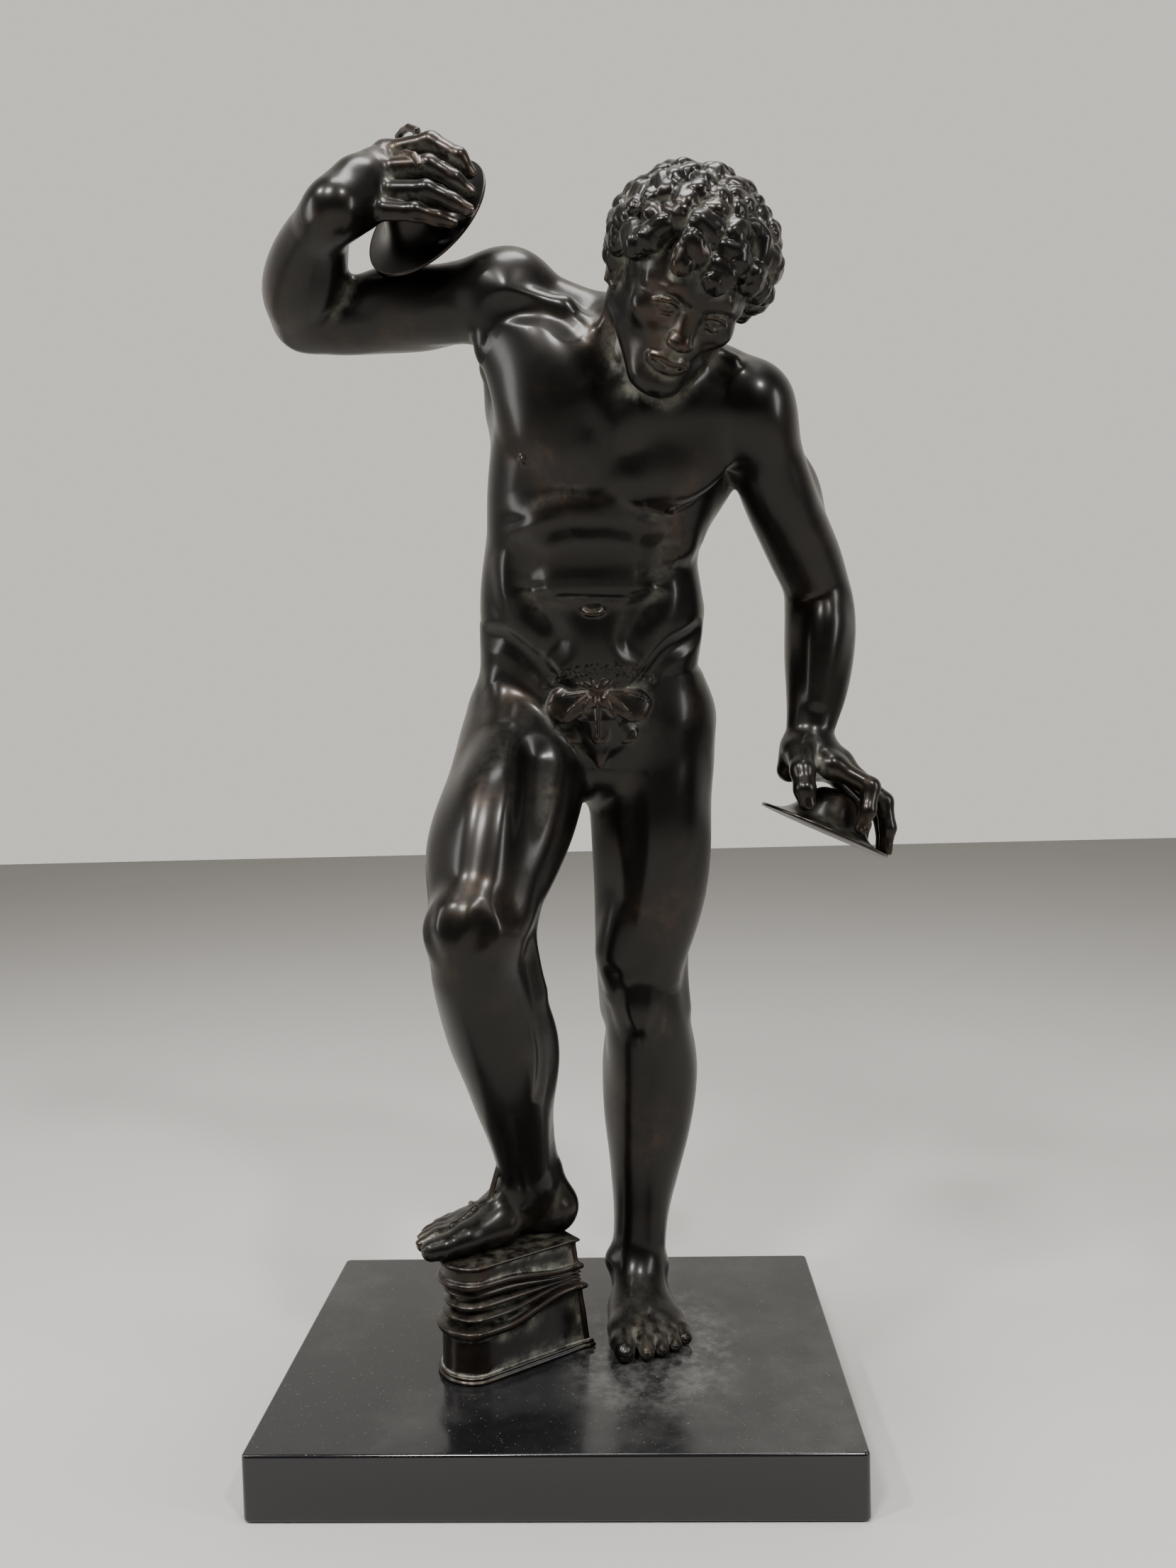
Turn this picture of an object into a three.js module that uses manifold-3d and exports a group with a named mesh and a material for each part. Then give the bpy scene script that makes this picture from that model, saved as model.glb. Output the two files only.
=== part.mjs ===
import * as THREE from 'three';
import ManifoldModule from 'manifold-3d';

// Faun statuette in millimetres: +Z up, he faces -Y, +X is the viewer's right and his left.
// The origin is the centre of the underside of the plinth.
const PLINTH_WIDTH = 370;
const PLINTH_DEPTH = 270;
const PLINTH_HEIGHT = 41;
const PLINTH_CORNER = 4;
const PLINTH_EDGE = 1.6;
const GAP = 0.3;
const TREAD_HEIGHT = 119;
const CYMBAL_RADIUS = 45;
const CYMBAL_WALL = 1.5;
const BOSS_HEIGHT = 24;
const CELL = 3.3;
const FIGURE_TRIANGLES = 6700;
const LOCK_SPACING = 13.8;
const LOCK_RADIUS = 7.7;
const SCALP_RADII = [44.5, 48.5, 39.5];
const SCALP_CENTRE = [0, 2, 11];
const RIGHT_CYMBAL_CENTRE = [-64.6, -58, 787.8];
const RIGHT_CYMBAL_AXIS = [-0.472, -0.765, 0.439];
const LEFT_CYMBAL_CENTRE = [184.5, -10, 394.5];
const LEFT_CYMBAL_AXIS = [0.425, 0.042, 0.904];

const manifoldModule = await ManifoldModule();
manifoldModule.setup();
const { Manifold, Mesh: ManifoldMesh } = manifoldModule;

const minus = (a, b) => [a[0] - b[0], a[1] - b[1], a[2] - b[2]];
const plus = (a, b) => [a[0] + b[0], a[1] + b[1], a[2] + b[2]];
const times = (a, s) => [a[0] * s, a[1] * s, a[2] * s];
const dot = (a, b) => a[0] * b[0] + a[1] * b[1] + a[2] * b[2];
const mix = (a, b, t) => plus(a, times(minus(b, a), t));
const unit = (a) => times(a, 1 / Math.hypot(...a));
const cross = (a, b) => [
  a[1] * b[2] - a[2] * b[1],
  a[2] * b[0] - a[0] * b[2],
  a[0] * b[1] - a[1] * b[0],
];

// A local frame: x to his left, y to his back, z up, given by an origin, an up and a side direction.
class Frame {
  constructor(origin, up, side) {
    this.origin = origin;
    this.z = unit(up);
    this.x = unit(minus(side, times(this.z, dot(side, this.z))));
    this.y = cross(this.z, this.x);
  }

  dir(x, y, z) {
    return plus(plus(times(this.x, x), times(this.y, y)), times(this.z, z));
  }

  at(x, y, z) {
    return plus(this.origin, this.dir(x, y, z));
  }

  local(p) {
    return [dot(p, this.x), dot(p, this.y), dot(p, this.z)];
  }
}

const world = new Frame([0, 0, 0], [0, 0, 1], [1, 0, 0]);
const forward = [0, -1, 0];
const pelvis = new Frame([29, 30, 476], [0.02, -0.16, 1], [1, 0, 0.03]);
const ribs = new Frame([57, -40, 660], [0.198, -0.45, 0.87], [0.96, -0.09, -0.266]);
const skull = new Frame([94, -120, 722], [0.42, -0.62, 0.66], [0.9, 0.36, -0.25]);
const leftFoot = new Frame([50, 47, PLINTH_HEIGHT], [0, 0, 1], [1, 0.04, 0]);
const rightFoot = new Frame([-22, -1, TREAD_HEIGHT], [0, 0, 1], [0.5, -0.866, 0]);
const chestInward = [0.198, 0.888, 0.414];
const backOutward = [0.1, -0.8, -0.5];

// Distance to an ellipse-like section scaled from its own radii.
function scaled(x, y, z, rx, ry, rz) {
  const near = Math.hypot(x / rx, y / ry, z / rz);
  const slope = Math.hypot(x / rx / rx, y / ry / ry, z / rz / rz) + 1e-9;
  return near < 1e-3 ? -Math.min(rx, ry, rz) : (near * (near - 1)) / slope;
}

function form(distance, centre, reach, options) {
  return { distance, centre, reach, blend: options.blend ?? 6, cut: options.cut ?? false };
}

// Rounded cone between two points; flat squashes its thickness along a direction.
function cone(a, b, ra, rb, options = {}) {
  const along = minus(b, a);
  const length2 = Math.max(dot(along, along), 1e-9);
  const normal = options.flat ? unit(options.flat[0]) : null;
  const squash = options.flat ? options.flat[1] : 1;
  const distance = (p) => {
    const v = minus(p, a);
    const t = Math.min(Math.max(dot(v, along) / length2, 0), 1);
    const w = minus(v, times(along, t));
    const r = ra + (rb - ra) * t;
    if (!normal) return Math.hypot(...w) - r;
    const h = dot(w, normal);
    const rest = Math.max(dot(w, w) - h * h, 0);
    const m = Math.sqrt(rest + (h / squash) ** 2);
    const m2 = Math.sqrt(rest + (h / squash / squash) ** 2) + 1e-9;
    return ((m - r) * m) / m2;
  };
  return form(distance, mix(a, b, 0.5), Math.sqrt(length2) / 2 + Math.max(ra, rb), options);
}

// Ellipsoid with its own radii in a frame.
function ball(centre, radii, options = {}) {
  const frame = options.frame ?? world;
  const distance = (p) => {
    const [x, y, z] = frame.local(minus(p, centre));
    return scaled(x, y, z, radii[0], radii[1], radii[2]);
  };
  return form(distance, centre, Math.max(...radii), options);
}

// Muscle belly: full radius at the bulge, a fraction of it at both tips.
function spindle(a, b, radius, options = {}) {
  const { bulge = 0.5, tip = 0.25 } = options;
  const along = minus(b, a);
  const length2 = dot(along, along);
  const normal = options.flat ? unit(options.flat[0]) : null;
  const squash = options.flat ? options.flat[1] : 1;
  const distance = (p) => {
    const v = minus(p, a);
    const t = Math.min(Math.max(dot(v, along) / length2, 0), 1);
    const w = minus(v, times(along, t));
    const u = t < bulge ? t / bulge : (1 - t) / (1 - bulge);
    const r = radius * (tip + (1 - tip) * Math.sin((u * Math.PI) / 2));
    if (!normal) return Math.hypot(...w) - r;
    const h = dot(w, normal);
    const rest = Math.max(dot(w, w) - h * h, 0);
    const m = Math.sqrt(rest + (h / squash) ** 2);
    const m2 = Math.sqrt(rest + (h / squash / squash) ** 2) + 1e-9;
    return ((m - r) * m) / m2;
  };
  return form(distance, mix(a, b, 0.5), Math.sqrt(length2) / 2 + radius, options);
}

// Smooth curve through rows of numbers.
function spline(rows, count) {
  const last = rows.length - 1;
  const first = rows[0].map((v, i) => 2 * v - rows[1][i]);
  const after = rows[last].map((v, i) => 2 * v - rows[last - 1][i]);
  const points = [first, ...rows, after];
  const result = [];
  for (let j = 0; j < count; j += 1) {
    const t = (j * last) / (count - 1);
    const i = Math.min(Math.floor(t), last - 1);
    const u = t - i;
    result.push(points[i].map((a, c) => {
      const [b, d, e] = [points[i + 1][c], points[i + 2][c], points[i + 3][c]];
      const square = (2 * a - 5 * b + 4 * d - e) * u * u;
      return 0.5 * (2 * b + (d - a) * u + square + (3 * b - a - 3 * d + e) * u ** 3);
    }));
  }
  return result;
}

// Round cord lifted off skin points along one direction, its two ends by another height.
function cord(points, out, radius, lift, endLift, options = {}) {
  const last = points.length - 1;
  const away = unit(out);
  const line = spline(
    points.map((p, i) => plus(p, times(away, i === 0 || i === last ? endLift : lift))),
    4 * last + 1,
  );
  const distance = (p) => {
    let nearest = Infinity;
    for (let i = 0; i + 1 < line.length; i += 1) {
      const along = minus(line[i + 1], line[i]);
      const v = minus(p, line[i]);
      const t = Math.min(Math.max(dot(v, along) / (dot(along, along) + 1e-9), 0), 1);
      const w = minus(v, times(along, t));
      nearest = Math.min(nearest, dot(w, w));
    }
    return Math.sqrt(nearest) - radius;
  };
  const centre = times(line.reduce((sum, p) => plus(sum, p), [0, 0, 0]), 1 / line.length);
  const reach = Math.max(...line.map((p) => Math.hypot(...minus(p, centre)))) + radius;
  return form(distance, centre, reach, options);
}

// Egg sections swept along a smooth line; front and back radii differ, caps are domed.
function loft(rows, front0, front1, options) {
  const count = 4 * (rows.length - 1) + 1;
  const stations = spline(rows, count);
  const centres = stations.map((row) => row.slice(0, 3));
  for (let pass = 0; pass < 8; pass += 1) {
    const old = [...centres];
    for (let i = 1; i < count - 1; i += 1) {
      centres[i] = mix(old[i], mix(old[i - 1], old[i + 1], 0.5), 0.5);
    }
  }
  const radii = stations.map((row) => row.slice(3).map((v) => Math.max(v, 0.5)));
  const tangents = centres.map((c, i) => {
    const before = centres[Math.max(i - 1, 0)];
    return unit(minus(centres[Math.min(i + 1, count - 1)], before));
  });
  const fronts = tangents.map((t, i) => {
    const guide = mix(unit(front0), unit(front1), i / (count - 1));
    return unit(minus(guide, times(t, dot(guide, t))));
  });
  const sides = tangents.map((t, i) => cross(t, fronts[i]));
  const distance = (p) => {
    let best = Infinity;
    let at = 0;
    let u = 0;
    for (let i = 0; i < count - 1; i += 1) {
      const c = centres[i];
      const d = centres[i + 1];
      const [ax, ay, az] = [d[0] - c[0], d[1] - c[1], d[2] - c[2]];
      const [px, py, pz] = [p[0] - c[0], p[1] - c[1], p[2] - c[2]];
      const ratio = (px * ax + py * ay + pz * az) / (ax * ax + ay * ay + az * az);
      const t = ratio < 0 ? 0 : Math.min(ratio, 1);
      const gap2 = (px - ax * t) ** 2 + (py - ay * t) ** 2 + (pz - az * t) ** 2;
      if (gap2 < best) {
        best = gap2;
        at = i;
        u = t;
      }
    }
    let along = at + u;
    let i = at;
    let v = p;
    let tangent = tangents[at];
    for (let pass = 0; pass < 3; pass += 1) {
      i = Math.min(Math.floor(along), count - 2);
      u = along - i;
      v = minus(p, mix(centres[i], centres[i + 1], u));
      tangent = mix(tangents[i], tangents[i + 1], u);
      if (pass < 2) {
        const length = Math.hypot(...minus(centres[i + 1], centres[i]));
        const bend = dot(v, minus(tangents[i + 1], tangents[i]));
        along += dot(v, tangent) / Math.max(length - bend, 0.35 * length);
        along = Math.min(Math.max(along, 0), count - 1);
      }
    }
    const r = mix(radii[i], radii[i + 1], u);
    const isStart = along <= 0;
    const isEnd = along >= count - 1;
    const front = dot(v, mix(fronts[i], fronts[i + 1], u));
    const side = dot(v, mix(sides[i], sides[i + 1], u));
    const over = isStart || isEnd ? dot(v, tangent) : 0;
    const dome = ((r[0] + r[1] + r[2]) / 3) * options.cap[isStart ? 0 : 1];
    return scaled(side, front, over, r[0], front > 0 ? r[1] : r[2], dome);
  };
  const box = new THREE.Box3().setFromPoints(centres.map((c) => new THREE.Vector3(...c)));
  const centre = box.getCenter(new THREE.Vector3()).toArray();
  const reach = box.getSize(new THREE.Vector3()).length() / 2 + Math.max(...radii.flat());
  return form(distance, centre, reach, options);
}

function crease(add, points, out, radius, depth, k) {
  // a shallow valley along skin points, fading out at its ends
  add(cord(points, out, radius, radius - depth, radius + 1, { blend: k, cut: true }));
}

function welt(add, points, out, radius, height, k) {
  // a low rounded ridge along skin points, fading out at its ends
  add(cord(points, out, radius, height - radius, -radius - 1, { blend: k }));
}

function torso(add) {
  // belly and rib cage as one swept egg section: x, y, z, side, front and back radius
  add(
    loft(
      [
        [29, 26, 440, 66, 36, 50], [31, 25, 465, 80, 43, 61], [29, 20, 492, 79, 44, 62],
        [28, 15.5, 510, 75, 43.5, 54], [31, 10.5, 527, 73, 44, 50], [33, 6, 541, 70, 46, 47],
        [31, -3.5, 568, 68, 44.5, 51.5], [33, -11.5, 590, 70, 45.5, 52.5],
        [38, -19.5, 610, 74, 47.5, 56.5], [46, -30, 635, 77, 50, 60], [54, -41, 660, 78, 50, 60],
        [60, -51.5, 684, 72, 43.5, 55.5], [64, -59, 703, 58, 33, 43],
      ],
      forward, [0.1, -0.9, -0.42], { blend: 10, cap: [0.5, 0.4] },
    )
  );
  // shoulder girdle, neck and the slopes beside it
  add(cone(ribs.at(-58, 4, 46), [-13, -55, 734], 25, 25, { blend: 12 }));
  add(cone(ribs.at(56, 4, 32), [131, -60, 660], 25, 25, { blend: 10 }));
  add(cone([64, -60, 706], skull.at(0, 14, -34), 26, 25, { blend: 12 }));
  add(cone([66, -58, 708], [7, -53, 736], 18, 12, { blend: 14 }));
  add(cone([80, -64, 700], [121, -60, 670], 14, 10, { blend: 14 }));
  // cords of the neck from behind the ears to the breastbone
  add(cone(skull.at(-27, 12, -22), [42, -86, 694], 7, 4.5, { blend: 6 }));
  add(cone(skull.at(27, 12, -22), [58, -92, 690], 7, 4.5, { blend: 6 }));
  // breast muscles: the right one stretched by the raised arm, the left one gathered
  add(
    spindle(
      [30, -84, 686], [-16, -64, 717], 18,
      { blend: 12, flat: [chestInward, 0.55], bulge: 0.5, tip: 0.65 },
    )
  );
  add(
    spindle(
      [28, -84, 662], [-20, -61, 708], 24,
      { blend: 12, flat: [chestInward, 0.52], bulge: 0.45, tip: 0.6 },
    )
  );
  add(
    spindle(
      [24, -77, 634], [-20, -59, 700], 24,
      { blend: 11, flat: [chestInward, 0.5], bulge: 0.42, tip: 0.55 },
    )
  );
  add(
    spindle(
      [68, -88, 674], [126, -70, 662], 18,
      { blend: 12, flat: [chestInward, 0.6], bulge: 0.5, tip: 0.65 },
    )
  );
  add(
    spindle(
      [68, -85, 650], [124, -69, 650], 24,
      { blend: 12, flat: [chestInward, 0.55], bulge: 0.45, tip: 0.65 },
    )
  );
  add(
    spindle(
      [64, -73, 615], [121, -64, 640], 24,
      { blend: 9, flat: [chestInward, 0.6], bulge: 0.38, tip: 0.6 },
    )
  );
  crease(
    add,
    [
      [54, -72, 602], [68, -66, 595], [86, -58, 593], [100, -54, 600], [118, -56, 618],
      [130, -66, 630],
    ],
    [0.25, -0.7, -0.65], 6, 3, 2.5,
  );
  crease(
    add,
    [[44, -98, 690], [48, -98, 664], [46, -95, 646], [44, -87, 626], [43, -76, 606]],
    [0, -0.96, -0.25], 7, 4.6, 5,
  );
  // collar bones and the hollows under them
  add(cone([46, -86, 694], [22, -82, 719], 4.5, 5, { blend: 8 }));
  add(cone([22, -82, 719], [-12, -78, 731], 5, 7, { blend: 9 }));
  add(cone([68, -92, 688], [96, -90, 694], 4.5, 5, { blend: 8 }));
  add(cone([96, -90, 694], [122, -82, 682], 5, 6, { blend: 9 }));
  crease(
    add,
    [[-22, -74, 722], [-6, -84, 719], [10, -91, 715], [26, -91, 705]],
    [-0.1, -0.98, -0.1], 7, 2.6, 5,
  );
  // broad back muscles running to the armpits, shoulder blades
  add(spindle([-20, -26, 696], ribs.at(-50, 14, -66), 17, { blend: 24, bulge: 0.3, tip: 0.4 }));
  add(spindle([122, -30, 652], ribs.at(54, 18, -60), 17, { blend: 12, bulge: 0.35, tip: 0.3 }));
  add(
    spindle(
      [-24, -22, 704], [18, 22, 640], 18,
      { blend: 22, flat: [backOutward, 0.5], bulge: 0.6, tip: 0.6 },
    )
  );
  add(
    spindle(
      [120, -28, 672], [92, 16, 622], 18,
      { blend: 20, flat: [backOutward, 0.5], bulge: 0.6, tip: 0.6 },
    )
  );
  // long muscles beside the spine, seat, flanks and hip rolls
  for (const s of [-1, 1]) {
    add(
      spindle(
        [54 + s * 19, 8, 690], [31 + s * 16, 58, 512], 19, { blend: 16, bulge: 0.65, tip: 0.3 },
      )
    );
    add(ball(pelvis.at(s * 38, 35, -15), [37, 34, 43], { blend: 20, frame: pelvis }));
  }
  crease(
    add,
    [
      [62, -2, 704], [57, 15, 678], [47, 31, 640], [36, 48, 600], [32, 60, 560], [30, 74, 520],
      [30, 84, 500],
    ],
    [0, 0.97, 0.2], 9, 3, 9,
  );
  crease(add, [[30, 90, 498], [30, 92, 470], [31, 86, 440]], [0, 1, 0], 6, 6, 4);
  add(spindle([-20, -2, 606], [-22, 8, 500], 20, { blend: 20, bulge: 0.52, tip: 0.15 }));
  add(spindle([84, -2, 600], [83, 8, 496], 19, { blend: 20, bulge: 0.52, tip: 0.15 }));
  // edge of the rib arch
  welt(
    add,
    [
      [4, -56, 586], [12, -62, 595], [22, -66, 600], [32, -67, 598], [46, -66, 598],
      [58, -61, 592], [66, -54, 584],
    ],
    [0.02, -0.9, -0.42], 10, 2.2, 10,
  );
  add(ball([35, -37, 574], [34, 13, 26], { blend: 14 }));
  // fold over the navel, navel, soft lower belly
  welt(
    add,
    [
      [0, -40, 556], [12, -44, 557], [24, -46, 557], [36, -46, 556], [52, -43, 556],
      [62, -39, 555], [70, -33, 553],
    ],
    [0.05, -0.95, -0.3], 8, 2.2, 7,
  );
  crease(
    add,
    [[8, -44, 549.5], [22, -47, 548.5], [38, -47, 547.5], [52, -44, 547], [62, -40, 547]],
    [0.05, -0.97, -0.2], 3, 1.5, 1.6,
  );
  add(ball([33, -22, 520], [36, 17, 28], { blend: 18 }));
  add(ball([34, -46, 542], [6.4, 3.4, 2.2], { blend: 1.4, cut: true }));
  welt(
    add,
    [[26, -45, 541.5], [30, -45.6, 538.6], [34, -45.8, 538], [38, -45.4, 538.6], [42, -44, 541.5]],
    [0.03, -0.98, -0.1], 2, 0.9, 1.6,
  );
  // outer edges of the belly muscle, rolls over the hip bones, groin lines
  crease(
    add,
    [[-8, -46, 574], [-8, -38, 554], [-3, -34, 540], [8, -32, 524]],
    [-0.4, -0.88, -0.25], 13, 0.9, 12,
  );
  crease(
    add,
    [[76, -44, 572], [74, -36, 554], [69, -32, 540], [60, -30, 524]],
    [0.4, -0.88, -0.25], 13, 0.9, 12,
  );
  welt(
    add,
    [[-24, -28, 570], [-22, -24, 552], [-14, -27, 536], [-4, -28, 524]],
    [-0.5, -0.82, -0.2], 9, 1.8, 9,
  );
  welt(
    add,
    [[-36, 4, 548], [-32, -11, 542], [-24, -21, 536], [-14, -27, 529]],
    [-0.5, -0.82, -0.2], 9, 1.8, 8,
  );
  welt(
    add,
    [[82, -28, 562], [84, -25, 548], [78, -27, 534], [68, -29, 521]],
    [0.5, -0.82, -0.2], 9, 1.6, 9,
  );
  welt(add, [[101, -2, 542], [93, -14, 538], [84, -24, 532]], [0.5, -0.82, -0.2], 9, 2.2, 7);
  crease(
    add,
    [
      [-48, 4, 531], [-38, -10, 528], [-26, -20, 525], [-10, -25, 514], [3, -25, 500],
      [14, -25, 486],
    ],
    [-0.45, -0.88, -0.15], 7, 1.5, 6,
  );
  crease(
    add,
    [[101, -2, 527], [91, -13, 519], [80, -19, 511], [70, -21, 500], [60, -20, 486]],
    [0.45, -0.88, -0.15], 7, 1.5, 6,
  );
  // soft teeth of the rib muscles on the lower left flank
  for (const [a, b] of [[[97, -24, 604], [86, -42, 592]], [[96, -20, 588], [85, -36, 576]]]) {
    add(spindle(a, b, 8, { blend: 12, bulge: 0.5, tip: 0.5 }));
  }
}

function arms(add) {
  // raised right arm, shoulder to elbow to wrist
  add(ball([-15, -55, 738], [30, 27, 27], { blend: 8 }));
  add(
    loft(
      [
        [-13, -52, 736, 26, 27, 24], [-39, -46, 736, 26, 27, 23], [-78, -32, 737, 24, 25, 21],
        [-115, -16, 738, 23, 23, 21], [-140, -6, 742, 22, 23, 21], [-155, -1, 747, 20, 22, 21],
      ],
      [0, 0, 1], [0, 0, 1], { blend: 10, cap: [1, 0.9] },
    )
  );
  add(spindle([-40, -58, 742], [-132, -22, 752], 17, { blend: 6, bulge: 0.5, tip: 0.35 }));
  add(spindle([-34, -32, 732], [-140, 4, 738], 17, { blend: 6, bulge: 0.4, tip: 0.4 }));
  add(
    loft(
      [
        [-157, -2, 749, 22, 23, 22], [-153, -22, 754, 26, 27, 25], [-142, -48, 762, 25, 25, 25],
        [-128, -76, 770, 20, 20, 19], [-116, -96, 773, 15, 15, 14],
      ],
      [-0.5, 0, 0.86], [-0.5, 0, 0.86], { blend: 10, cap: [0.9, 0.6] },
    )
  );
  // lowered left arm
  add(ball([136, -59, 656], [26, 28, 32], { blend: 8 }));
  add(
    loft(
      [
        [137, -60, 662, 23, 26, 26], [145, -48, 638, 23, 26, 26], [152, -36, 616, 23, 26, 26],
        [163, -22, 597, 23, 26, 26], [175, -5, 577, 23, 25, 26], [184, 8, 560, 22, 24, 25],
        [187, 13, 543, 23.5, 25, 24.5], [187, 13, 525, 24, 25.5, 24], [185, 10, 505, 23, 23.5, 23],
        [183, 6, 486, 20.5, 20.5, 20], [178, 0, 466, 17, 16, 16], [175, -5, 452, 15, 13, 13],
      ],
      forward, forward, { blend: 10, cap: [1, 1] },
    )
  );
  add(spindle([144, -60, 648], [168, -20, 580], 18, { blend: 6, bulge: 0.55, tip: 0.3 }));
  add(spindle([152, -36, 650], [184, 10, 578], 18, { blend: 6, bulge: 0.45, tip: 0.35 }));
  add(spindle([190, -2, 556], [180, -12, 480], 14, { blend: 8, bulge: 0.35, tip: 0.3 }));
  add(ball([196, 18, 560], [8, 8, 9], { blend: 8 }));
}

function legs(add) {
  // standing left leg, hip to ankle
  add(
    loft(
      [
        [70, 34, 470, 46, 40, 48], [68, 38, 438, 46, 42, 46], [68, 38, 408, 43, 41, 42],
        [68, 40, 380, 40.5, 40, 41], [66, 42, 351, 37, 37, 37], [61, 44, 323, 34, 34, 34],
        [57, 47, 288, 30.5, 30, 31], [61, 50, 262, 29.5, 31.5, 29], [64, 53, 237, 31, 28.5, 32],
        [65, 60, 213, 33.5, 27, 36], [62, 63, 188, 33.5, 26, 36], [61, 64, 167, 30.5, 25, 32],
        [58, 61, 138, 25, 23.5, 26], [55, 57, 108, 19.5, 20, 22], [53, 53, 86, 18, 20, 24],
        [52, 52, 66, 18, 22, 24],
      ],
      forward, forward, { blend: 10, cap: [0.95, 0.6] },
    )
  );
  add(spindle([82, 9, 462], [60, 32, 284], 26, { blend: 16, bulge: 0.42, tip: 0.3 }));
  add(spindle([96, 30, 440], [78, 34, 290], 20, { blend: 12, bulge: 0.55, tip: 0.25 }));
  add(spindle([54, 22, 372], [41, 31, 276], 18, { blend: 7, bulge: 0.66, tip: 0.3 }));
  add(spindle([56, 26, 446], [40, 42, 300], 20, { blend: 8, bulge: 0.35, tip: 0.35 }));
  add(spindle([88, 8, 492], [62, 12, 420], 13, { blend: 14, bulge: 0.5, tip: 0.3 }));
  crease(
    add,
    [[61, -14, 440], [56, -8, 408], [55, -7, 374], [51, -3, 338], [44, 6, 306]],
    [-0.4, -0.9, 0], 10, 2, 9,
  );
  // its knee cap between two rims, and the shin
  add(ball([57, 22, 266], [16, 9, 19], { blend: 9 }));
  crease(
    add,
    [[39, 18, 290], [40, 18, 268], [48, 18, 248], [56, 16, 242]],
    [-0.5, -0.85, 0], 6, 1.2, 8,
  );
  crease(
    add,
    [[75, 15, 290], [74, 16, 268], [66, 17, 248], [58, 16, 242]],
    [0.4, -0.9, 0], 6, 1.2, 8,
  );
  add(cone([58, 42, 236], [52, 50, 84], 13, 9, { blend: 18 }));
  // hamstring cords, hollow of the knee, twin calf heads, heel cord
  add(cone([80, 58, 345], [84, 60, 262], 11, 9, { blend: 14 }));
  add(cone([46, 60, 345], [40, 60, 262], 11, 9, { blend: 14 }));
  crease(add, [[64, 84, 318], [63, 84, 290], [63, 84, 262]], [0, 1, 0], 13, 4, 9);
  add(spindle([78, 64, 276], [74, 80, 152], 20, { blend: 10, bulge: 0.45, tip: 0.25 }));
  add(spindle([50, 66, 280], [52, 82, 146], 21, { blend: 10, bulge: 0.48, tip: 0.25 }));
  crease(add, [[64, 99, 240], [65, 103, 215], [62, 100, 180]], [0, 1, 0], 8, 1.8, 7);
  add(cone([57, 84, 150], [52, 74, 82], 7, 6, { blend: 10 }));
  // bent right leg, thigh then shank
  add(
    loft(
      [
        [-16, 30, 472, 44, 40, 48], [-18, 16, 452, 46, 44, 48], [-21, 0, 432, 46, 45, 46],
        [-26, -25, 405, 44, 43, 42], [-33, -50, 378, 39, 40, 38], [-38, -71, 356, 32.5, 34, 34],
        [-42, -86, 340, 28, 30, 31],
      ],
      [0, -0.8, 0.6], [0, -0.85, 0.5], { blend: 10, cap: [0.95, 0.8] },
    )
  );
  add(
    loft(
      [
        [-42, -86, 340, 27, 31, 29], [-43, -80, 318, 27, 29, 29], [-41, -66, 287, 30, 26, 34],
        [-35, -56, 264, 31.5, 25, 37], [-30, -48, 244, 28.5, 24, 35],
        [-28, -38, 222, 24.5, 22, 29], [-25, -26, 203, 20.5, 19, 23], [-23, -15, 180, 17, 17, 21],
        [-21, -4, 156, 16, 18, 20],
      ],
      [-0.5, -0.85, 0], [-0.5, -0.85, 0], { blend: 10, cap: [0.8, 0.7] },
    )
  );
  add(spindle([-24, -20, 462], [-43, -94, 354], 26, { blend: 18, bulge: 0.45, tip: 0.3 }));
  add(spindle([-48, -8, 440], [-60, -80, 350], 20, { blend: 18, bulge: 0.55, tip: 0.25 }));
  add(spindle([-18, -56, 392], [-28, -88, 334], 17, { blend: 8, bulge: 0.66, tip: 0.35 }));
  add(spindle([-6, 0, 456], [-6, -48, 386], 18, { blend: 9, bulge: 0.45, tip: 0.4 }));
  add(spindle([-32, -2, 496], [-8, -22, 440], 13, { blend: 14, bulge: 0.5, tip: 0.3 }));
  crease(
    add,
    [[-9, -38, 448], [-10, -62, 416], [-12, -88, 380], [-16, -98, 358]],
    [0.62, -0.72, 0.3], 12, 1.6, 12,
  );
  // its knee
  add(ball([-49, -101, 347], [17, 11, 17], { blend: 11 }));
  crease(
    add,
    [[-35, -114, 360], [-36, -116, 346], [-43, -117, 332]],
    [0.45, -0.88, 0.1], 6, 1.2, 8,
  );
  crease(add, [[-68, -104, 356], [-69, -106, 344], [-62, -112, 330]], [-0.8, -0.6, 0.1], 6, 1.2, 8);
  add(cone([-48, -88, 312], [-24, -8, 150], 12, 9, { blend: 18 }));
  crease(
    add,
    [[-6, -82, 308], [-5, -72, 284], [-4, -66, 260], [-9, -60, 232]],
    [0.8, -0.6, 0], 6, 1.8, 5,
  );
  add(cone([-18, -58, 342], [-12, -50, 298], 9, 9, { blend: 14 }));
  add(cone([-56, -58, 342], [-54, -50, 298], 9, 9, { blend: 14 }));
  add(spindle([-19, -56, 310], [-14, -8, 196], 20, { blend: 10, bulge: 0.45, tip: 0.25 }));
  add(spindle([-48, -52, 308], [-30, -4, 200], 19, { blend: 10, bulge: 0.42, tip: 0.25 }));
  add(cone([-15, -12, 214], [-8, 10, 152], 6, 6, { blend: 12 }));
}

function digit(add, joints, radii, k) {
  for (let i = 0; i < joints.length - 1; i += 1) {
    add(cone(joints[i], joints[i + 1], radii[i], radii[i + 1], { blend: (i === 0 ? 5 : k) }));
  }
}

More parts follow.
